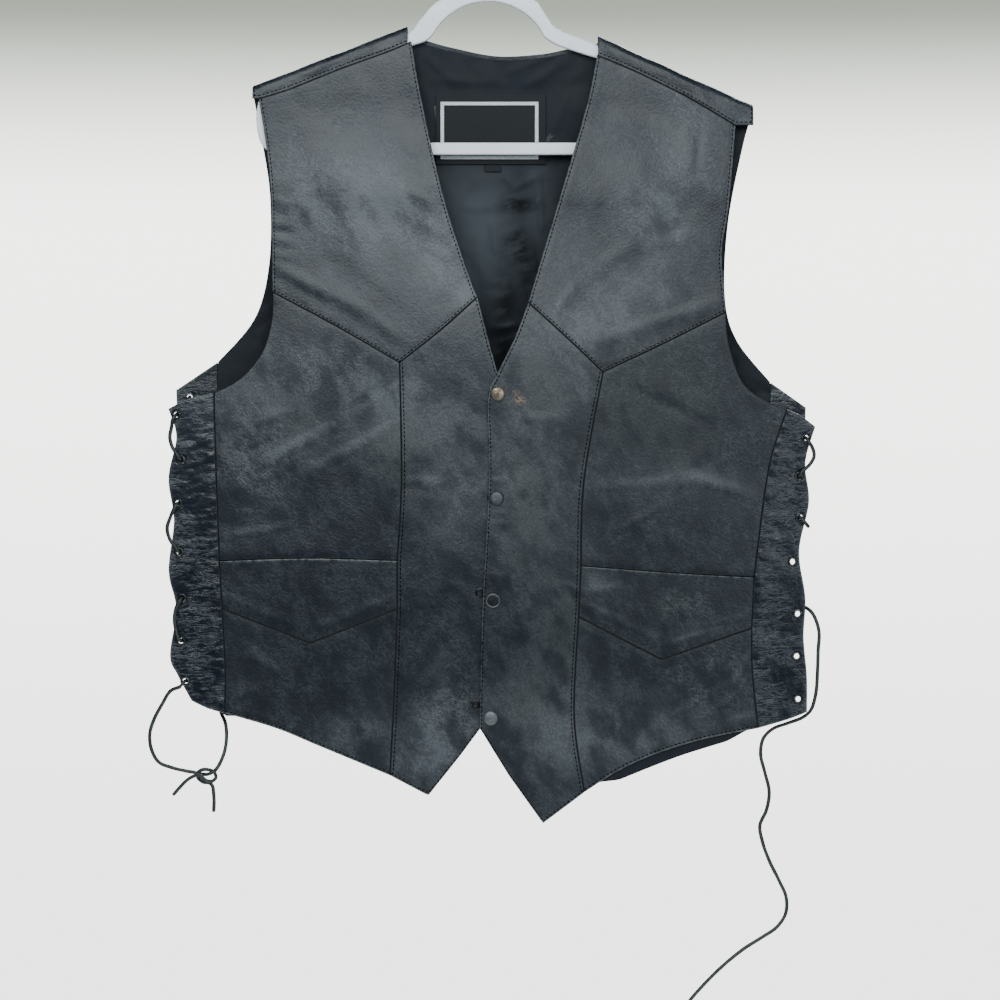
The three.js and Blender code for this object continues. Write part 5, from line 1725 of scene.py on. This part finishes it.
def tube(route, radius, sides=12, seed=0):
    """A lace along a route: a closed tube with rounded ends and slight unevenness."""
    t = np.gradient(route, axis=0)
    t /= np.linalg.norm(t, axis=1, keepdims=True)
    side = np.cross(t[0], (0.3, 0.5, 0.8))
    side /= np.linalg.norm(side)
    run = np.concatenate([[0], np.cumsum(np.linalg.norm(np.diff(route, axis=0), axis=1))])
    wobble = 1 + 0.045 * lattice_noise(run, 0 * run, 9, 9, 400 + seed) + 0.02 * lattice_noise(run, 0 * run,
            2.5, 9, 410 + seed)
    edge = np.minimum(run, run[-1] - run) / radius
    taper = np.sqrt(np.clip(1 - np.clip(1 - edge, 0, 1) ** 2, 0.02, 1)) * 0.3 + 0.7
    verts, rings = [], []
    for i, point in enumerate(route):
        side = side - t[i] * side.dot(t[i])
        side /= np.linalg.norm(side)
        other = np.cross(t[i], side)
        angles = 2 * math.pi * np.arange(sides) / sides
        r = radius * wobble[i] * taper[i]
        rings.append([len(verts) + k for k in range(sides)])
        verts += list(point + r * (np.cos(angles)[:, None] * side + np.sin(angles)[:, None] * other))
    faces = []
    for low, high in zip(rings, rings[1:]):
        faces += [(low[k], low[(k + 1) % sides], high[(k + 1) % sides], high[k]) for k in range(sides)]
    for ring, point, flip in ((rings[0], route[0] - t[0] * 0.35 * radius, True),
                              (rings[-1], route[-1] + t[-1] * 0.35 * radius, False)):
        verts.append(point)
        tip = len(verts) - 1
        for k in range(sides):
            pair = (ring[k], ring[(k + 1) % sides])
            faces.append((pair[1], pair[0], tip) if flip else (*pair, tip))
    return np.array(verts), faces


LACE_HEIGHT = LAYER_GAP + EYELET_LIP + 3
LIE = LACE_RADIUS + 0.8
LEFT_LOOPS = {
    5: [(-270.4, -609.5), (-271.6, -619), (-270.2, -628.5)],
    3: [(-274.8, -530), (-278, -540), (-275.6, -550)],
    1: [(-274.2, -453.5), (-275.6, -462), (-273.4, -470.5)],
}
LEFT_RUN = [(-250, -448), (-244, -490), (-243, -550), (-240, -620), (-236, -670), (-233.4, -698)]
RIGHT_LOOP = [(275.5, -485), (279, -478), (277.5, -471)]
RIGHT_RUN = [(257, -480), (250, -520), (247, -550)]


def through(place, outside_last, heading):
    """A lace's way through an eyelet."""
    point, normal = place
    lie = np.array([heading[0], 0.0, heading[1]])
    lie -= normal * lie.dot(normal)
    lie /= np.linalg.norm(lie)
    steps = [(-LEATHER - 1.6, 0), (0, 0), (LACE_HEIGHT - 2.6, 0.3), (LACE_HEIGHT - 0.7, 1.6),
             (LACE_HEIGHT, 4.4)]
    points = [point + normal * height + lie * away for height, away in steps]
    return points if outside_last else points[::-1]


def lying_on(face, places):
    """Points of a lace that lies on the cloth."""
    points = []
    for place in places:
        point, normal = seat(face, place, 1.0)
        points.append(point + normal * LIE)
    return points


def lacing(side, passes):
    """A lace's route from passes: eyelets as strip, number, outwards and heading, or points on the way."""
    points = []
    for row in passes:
        if isinstance(row, list):
            points += row
            continue
        strip, hole, outwards, heading = row
        face = FACES[side] if strip == "front" else back_face
        points += through(seat(face, EYELETS[side][strip][hole - 1]), outwards, heading)
    return points


def left_lacing():
    passes = [("front", 7, False, (-0.65, -0.76))]
    back = EYELETS["left"]["back"]
    for upper in (5, 3, 1):
        lower = upper + 1
        passes.append(("back", lower + 1, True, (0, 1)))
        passes.append(lying_on(back_face, [(-257.5, (back[lower][1] + back[lower - 1][1]) / 2)]))
        passes.append(("back", lower, False, (0, -1)))
        passes.append(("front", lower, True, (-0.5, 0.86)))
        passes.append(lying_on(left_face, LEFT_LOOPS[upper])[::-1])
        passes.append(("front", upper, False, (-0.5, -0.86)))
    passes.append(("back", 1, True, (0.4, -0.9)))
    passes.append(lying_on(back_face, LEFT_RUN))
    return lacing("left", passes)


def right_lacing():
    inside = [np.array([250.8, float(back_face(251, -592)) - LEATHER - LIE, -592.0])]
    return lacing("right", [
        lying_on(right_face, [(274.5, -539.5)]),
        ("front", 3, False, (0.63, -0.78)),
        ("back", 3, True, (0, 1)),
        lying_on(back_face, [(263, -509)]),
        ("back", 2, False, (0, -1)),
        ("front", 2, True, (0.5, 0.86)),
        lying_on(right_face, RIGHT_LOOP),
        ("front", 1, False, (0.5, -0.86)),
        ("back", 1, True, (-0.4, -0.9)),
        lying_on(back_face, RIGHT_RUN),
        ("back", 4, False, (0, 1)),
        inside,
        ("back", 5, True, (1, 0.1)),
    ])


TIE_FRONT = [
    (-274.9, -11, -680.2), (-282.3, -9.5, -691.6), (-289.6, -8, -705.2), (-293.4, -6, -718),
    (-291.9, -4.5, -731.5),
    (-285.9, -3, -742.1), (-274.9, -2, -746.9), (-262.5, -1, -750.0), (-254.0, -0.5, -751.6),
]
TIE_BACK = [(-229.6, 10, -708), (-228.1, 8, -717.7), (-228.9, 5, -730.2), (-232, 2, -740.5),
            (-236.5, 0.5, -748.5)]
# The knot: the way of each lace, from where it comes in to its free end
KNOT_FRONT = [
    (-249.4, -1.9, -754.4), (-245.0, -2.2, -758.0), (-240.3, -0.6, -758.8), (-236.9, 1.6, -755.9),
    (-238.3, 1.5, -751.2),
    (-243.2, -1.6, -748.8), (-248.0, -2.4, -748.7), (-252.3, 0.6, -751.6), (-252.2, 2.6, -756.4),
    (-247.6, 2.6, -759.8),
    (-242.5, 1.8, -760.4), (-239.8, 0.4, -763.0), (-238.8, -0.2, -768.5), (-238.3, -0.8, -776.5),
    (-238.6, -1.0, -785.2),
]
KNOT_BACK = [
    (-240.2, -2.4, -751.4), (-244.9, -0.3, -753.0), (-249.5, 1.4, -752.8), (-254.6, 1.2, -754.1),
    (-259.2, 1.2, -756.2),
    (-263.6, 1.5, -759.6), (-268.5, 1.7, -764.8), (-273.9, 2.0, -771.0),
]
TAIL = [
    (264.5, 13, -608), (271.2, 11, -608.3), (278.6, 7, -613.5), (284.3, 4, -629), (283.5, 2, -646.5),
    (283, 1, -661.4),
    (281.2, 0, -684), (276.7, 0, -697.9), (269.5, 0, -704), (256.9, 0, -708.8), (244.1, 0, -713.7),
    (236, 0, -722),
    (233.7, 0, -735.7), (237.1, -1, -750.5), (241, -1, -768), (238.7, -1, -783.5), (233, -1, -797),
    (235.2, -1, -811),
    (241.2, -2, -827.8), (249.4, -2, -844.3), (255.6, -2, -859.1), (255, -3, -873), (247.5, -3, -884.5),
    (235, -4, -893),
    (219, -5, -903), (202, -6, -916.5), (186, -6, -932), (171, -6, -949), (158, -6, -967), (148, -6, -986),
]


def start_after(route):
    """Two points that carry on a route's end."""
    end = np.array(route[-1])
    away = end - np.array(route[-2])
    away /= np.linalg.norm(away)
    return [end + away * d for d in (LAYER_GAP, LACE_RADIUS + LAYER_GAP)]


class VEST_OT_laces(bpy.types.Operator):
    """Make the lacing of both sides and its free ends"""
    bl_idname = "vest.laces"
    bl_label = "Laces"

    def execute(self, context):
        left, right = left_lacing(), right_lacing()
        for side, points in (("left", left), ("right", right)):
            shape = tube(centripetal(points, LACE_STEP), LACE_RADIUS, seed=len(points))
            dress(joined(f"{side}_lacing_leather", [shape]), f"{side}_lacing",
                  paint("lace"))
        front = self.free_end("left_tie_front", [*start_after(left[::-1]), *TIE_FRONT, *KNOT_FRONT],
                              "left_tie", "knot", 3)
        self.free_end("left_tie_back", [*start_after(left), *TIE_BACK, *KNOT_BACK], None, "knot", 5)
        self.free_end("right_tail", [*start_after(right), *TAIL], "right_lace_tail", "bare", 7)
        return {"FINISHED"}

    def free_end(self, name, points, node, far_end, seed):
        """A free lace end, a tube of its own length."""
        route = centripetal([tuple(p) for p in points], LACE_STEP)
        obj = joined(name, [tube(route, LACE_RADIUS, 14, seed)])
        dress(obj, node, paint("lace"))
        return obj


HANGER_DEPTH = 7.0
HANGER_BEVEL = 1.5
HANGER_ARM = 12.0
HANGER_UNDER = 3.0
BAR_TOP, BAR_BOTTOM = -207.5, -218.0
ARCH_X = -1.7
ARCH_OUTER = (-135.0, 64.5)
ARCH_INNER = (-139.0, 53.5)
HOOK_INNER = 20.0
HOOK_WIRE = 3.6


def hanger_outlines():
    """The hanger's outer outline and its opening, in x and z."""
    def left(x, drop=0.0):
        return (x, line_at(BACK["fold_left"], x) - HANGER_UNDER - drop)

    def right(x, drop=0.0):
        return (x, line_at(BACK["fold_right"], x) - HANGER_UNDER - drop)

    def arc(z, r, start, end):
        return [(ARCH_X + r * math.cos(a), z + r * math.sin(a)) for a in np.linspace(start, end, 40)]

    def on_arch(z, r, a):
        return (ARCH_X + r * math.cos(a), z + r * math.sin(a))

    (oz, outer), (iz, inner) = ARCH_OUTER, ARCH_INNER
    arm = HANGER_ARM
    outline = [
        [(-186, BAR_BOTTOM), (188, BAR_BOTTOM)],
        [(188, BAR_BOTTOM), (197, -213), (202, -200), (202.5, -184), right(197, 4), right(186)],
        [right(186), right(122)],
        [right(122), (93.3, -123.8), (75.8, -116.8), (57.5, -109.2), (48.3, -97.6),
         on_arch(oz, outer, 0.822)],
        arc(oz, outer, 0.822, 2.2),
        [on_arch(oz, outer, 2.2), (-49.2, -88.5), (-60.5, -101.5), (-70, -113), (-86, -117.6), left(-108)],
        [left(-108), left(-184)],
        [left(-184), left(-196, 4), (-201.5, -181), (-200, -202), (-194, -213), (-186, BAR_BOTTOM)],
    ]
    opening = [
        [(-182, BAR_TOP), (-189, -205), (-190, -190), left(-184, arm + 4), left(-172, arm)],
        [left(-172, arm), left(-108, arm)],
        [left(-108, arm), (-86, -129.8), (-66.5, -123.5), (-54.9, -119.3),
         on_arch(iz, inner, math.pi - 0.5)],
        arc(iz, inner, math.pi - 0.5, 0.45),
        [on_arch(iz, inner, 0.45), (52, -120), (61.4, -124.6), (88.6, -133.5), right(122, arm)],
        [right(122, arm), right(174, arm)],
        [right(174, arm), right(186, arm + 5), (191, -197), (184, BAR_TOP)],
        [(184, BAR_TOP), (-182, BAR_TOP)],
    ]

    def drawn(parts):
        points = []
        for part in parts:
            line = np.array(part, float) if len(part) in (2, 40) else spline(part, 30)
            points.append(line[:-1])
        return np.vstack(points)

    return drawn(outline), drawn(opening)


class VEST_OT_hanger(bpy.types.Operator):
    """Make the plastic hanger with its hook"""
    bl_idname = "vest.hanger"
    bl_label = "Hanger"

    def execute(self, context):
        curve = bpy.data.curves.new("hanger_outline", "CURVE")
        curve.dimensions = "2D"
        curve.fill_mode = "BOTH"
        curve.extrude = (HANGER_DEPTH / 2 - HANGER_BEVEL) * MM
        curve.bevel_depth = HANGER_BEVEL * MM
        curve.bevel_resolution = 3
        curve.offset = -HANGER_BEVEL * MM
        for outline in hanger_outlines():
            line = curve.splines.new("POLY")
            line.points.add(len(outline) - 1)
            line.points.foreach_set("co", [c for x, z in outline for c in (x * MM, z * MM, 0.0, 1.0)])
            line.use_cyclic_u = True
        drawn = bpy.data.objects.new("hanger_outline", curve)
        context.scene.collection.objects.link(drawn)
        plate = bpy.data.meshes.new_from_object(drawn.evaluated_get(context.evaluated_depsgraph_get()))
        bpy.data.objects.remove(drawn)
        bpy.data.curves.remove(curve)
        made = bmesh.new()
        made.from_mesh(plate)
        bmesh.ops.remove_doubles(made, verts=made.verts, dist=2e-5)
        for vert in made.verts:
            vert.co = (vert.co.x, -vert.co.z, vert.co.y)
        bmesh.ops.recalc_face_normals(made, faces=made.faces)
        made.to_mesh(plate)
        made.free()
        verts, faces = self.hook()
        shapes = [(np.array([v.co for v in plate.vertices]) / MM,
                   [tuple(p.vertices) for p in plate.polygons]), (verts, faces)]
        bpy.data.meshes.remove(plate)
        obj = joined("hanger_plastic", shapes)
        obj.data.set_sharp_from_angle(angle=math.radians(50))
        weighted = obj.modifiers.new("even_shading", "WEIGHTED_NORMAL")
        weighted.keep_sharp = True
        dress(obj, "hanger", paint("plastic"))
        return {"FINISHED"}

    def hook(self):
        route = [(ARCH_X, -78.5), (ARCH_X, -76.5), (ARCH_X - 1, -58), (-9, -46), (-18, -36)]
        r = HOOK_INNER + HOOK_WIRE
        for a in np.radians(np.arange(165, -31, -19.5)):
            route.append((r * math.cos(a), -HOOK_INNER + r * math.sin(a)))
        return tube(centripetal([(x, 0.0, z) for x, z in route], HOOK_STEP), HOOK_WIRE, 24)


CAMERA_X = 8.6
CAMERA_Z = -516.0
CAMERA_FAR = 3500.0
FLOOR_Z = -1060.0
FLOOR_RADIUS = 0.9
FLOOR_COLOUR = (0.80, 0.81, 0.79)
FLOOR_GLOW = 0.9
SWEEP_LOW = (3.0, 3.1, 3.0)
SWEEP_MIDDLE = (4.0, 4.2, 3.9)
SWEEP_HIGH = (0.50, 0.56, 0.47)
ROOM_COLOUR = (0.66, 0.92, 1.25, 1.0)
ROOM_STRENGTH = 0.15
# Lights: name, place in metres, size, watts, colour
STUDIO_LIGHTS = [
    ("key_light", (-0.25, -1.7, 0.45), (1.9, 0.9), 41.0, (0.90, 0.97, 1.0)),
    ("fill_light", (1.5, -1.8, -0.2), (1.4, 1.4), 15.0, (0.88, 0.96, 1.0)),
    ("top_light", (0.1, -0.6, 1.3), (1.6, 0.8), 2.5, (0.88, 0.96, 1.0)),
    ("back_light", (0.4, 1.7, 0.8), (1.8, 0.8), 50.0, (0.90, 0.97, 1.0)),
]


class VEST_OT_stage(bpy.types.Operator):
    """Set the camera, the lights and the pale surroundings"""
    bl_idname = "vest.stage"
    bl_label = "Stage"

    def execute(self, context):
        data = bpy.data.cameras.new("camera")
        data.sensor_width = 36.0
        data.lens = 36.0 * CAMERA_FAR / 860.0
        data.clip_end = 50.0
        camera = bpy.data.objects.new("camera", data)
        camera.location = (CAMERA_X * MM, -(CAMERA_FAR + 15.0) * MM, CAMERA_Z * MM)
        camera.rotation_euler = (math.pi / 2, 0.0, 0.0)
        context.scene.collection.objects.link(camera)
        context.scene.camera = camera
        self.surround(context)
        for name, place, size, power, colour in STUDIO_LIGHTS:
            self.light(context, name, place, size, power, colour)
        self.floor()
        return {"FINISHED"}

    def floor(self):
        """A plain pale floor below the vest, which fades out around it."""
        angles = np.linspace(0, 2 * math.pi, 97)[:-1]
        rim = FLOOR_RADIUS * np.stack([np.cos(angles), np.sin(angles), 0 * angles], axis=1)
        rim[:, 2] = FLOOR_Z * MM
        floor = new_object("floor", rim, [tuple(range(len(rim)))], False)
        s = Shader("pale_floor", FLOOR_COLOUR)
        place = s.place()
        away = s.node("ShaderNodeVectorMath", {"operation": "LENGTH"},
                      [s.stretched(place, (1.0, 1.0, 0.0))], "Value")
        grain = s.noise(place, 60.0, 3.0)
        shade = s.mix(grain, FLOOR_COLOUR, tuple(c * 0.97 for c in FLOOR_COLOUR))
        floor.data.materials.append(s.finish(base_color=shade, roughness=0.7, emission_color=shade,
                                             emission_strength=FLOOR_GLOW,
                                             alpha=1.0 - (away / FLOOR_RADIUS).step(0.6, 1.0)))

    def surround(self, context):
        """A pale sweep, greenish grey above and nearly white below, and the soft light of the room."""
        context.scene.world = bpy.data.worlds.new("surroundings")
        s = Shader("surroundings", owner=context.scene.world)
        way = s.node("ShaderNodeTexCoord", out="Generated")
        height = s.node("ShaderNodeSeparateXYZ", None, [way], "Z")
        low = s.mix(height.step(-0.10, 0.06), SWEEP_LOW, SWEEP_MIDDLE)
        seen = s.node("ShaderNodeBackground", None,
                      {"Color": s.mix(height.step(0.065, 0.123), low, SWEEP_HIGH), "Strength": 1.0})
        room = s.node("ShaderNodeBackground", None, {"Color": ROOM_COLOUR, "Strength": ROOM_STRENGTH})
        straight = s.node("ShaderNodeLightPath", out="Is Camera Ray")
        s.node("ShaderNodeOutputWorld", None, [s.node("ShaderNodeMixShader", None, [straight, room, seen])])

    def light(self, context, name, place, size, power, colour):
        data = bpy.data.lights.new(name, "AREA")
        data.shape = "RECTANGLE"
        data.size, data.size_y = size
        data.energy = power
        data.color = colour
        obj = bpy.data.objects.new(name, data)
        obj.location = place
        obj.rotation_euler = (Vector((0.0, 0.0, -0.5)) - Vector(place)).to_track_quat("-Z", "Y").to_euler()
        context.scene.collection.objects.link(obj)


class VEST_PT_tools(bpy.types.Panel):
    """The vest's pieces in the sidebar"""
    bl_idname = "VEST_PT_tools"
    bl_label = "Leather Vest"
    bl_space_type = "VIEW_3D"
    bl_region_type = "UI"
    bl_category = "Vest"

    def draw(self, context):
        look = context.scene.vest_look
        for name in look.__annotations__:
            self.layout.prop(look, name)
        for operator in OPERATORS:
            self.layout.operator(operator.bl_idname)


OPERATORS = (VEST_OT_stage, VEST_OT_laces, VEST_OT_fronts, VEST_OT_strips, VEST_OT_back, VEST_OT_labels,
             VEST_OT_eyelets, VEST_OT_snaps, VEST_OT_hanger)


def register():
    bpy.utils.register_class(VestLook)
    bpy.types.Scene.vest_look = bpy.props.PointerProperty(type=VestLook)
    for operator in OPERATORS:
        bpy.utils.register_class(operator)
    bpy.utils.register_class(VEST_PT_tools)


def unregister():
    bpy.utils.unregister_class(VEST_PT_tools)
    for operator in reversed(OPERATORS):
        bpy.utils.unregister_class(operator)
    del bpy.types.Scene.vest_look
    bpy.utils.unregister_class(VestLook)


def main():
    register()
    bpy.ops.vest.stage()
    bpy.ops.vest.laces()
    bpy.ops.vest.fronts()
    bpy.ops.vest.strips()
    bpy.ops.vest.back()
    bpy.ops.vest.labels()
    bpy.ops.vest.eyelets()
    bpy.ops.vest.snaps()
    bpy.ops.vest.hanger()


if __name__ == "__main__":
    main()
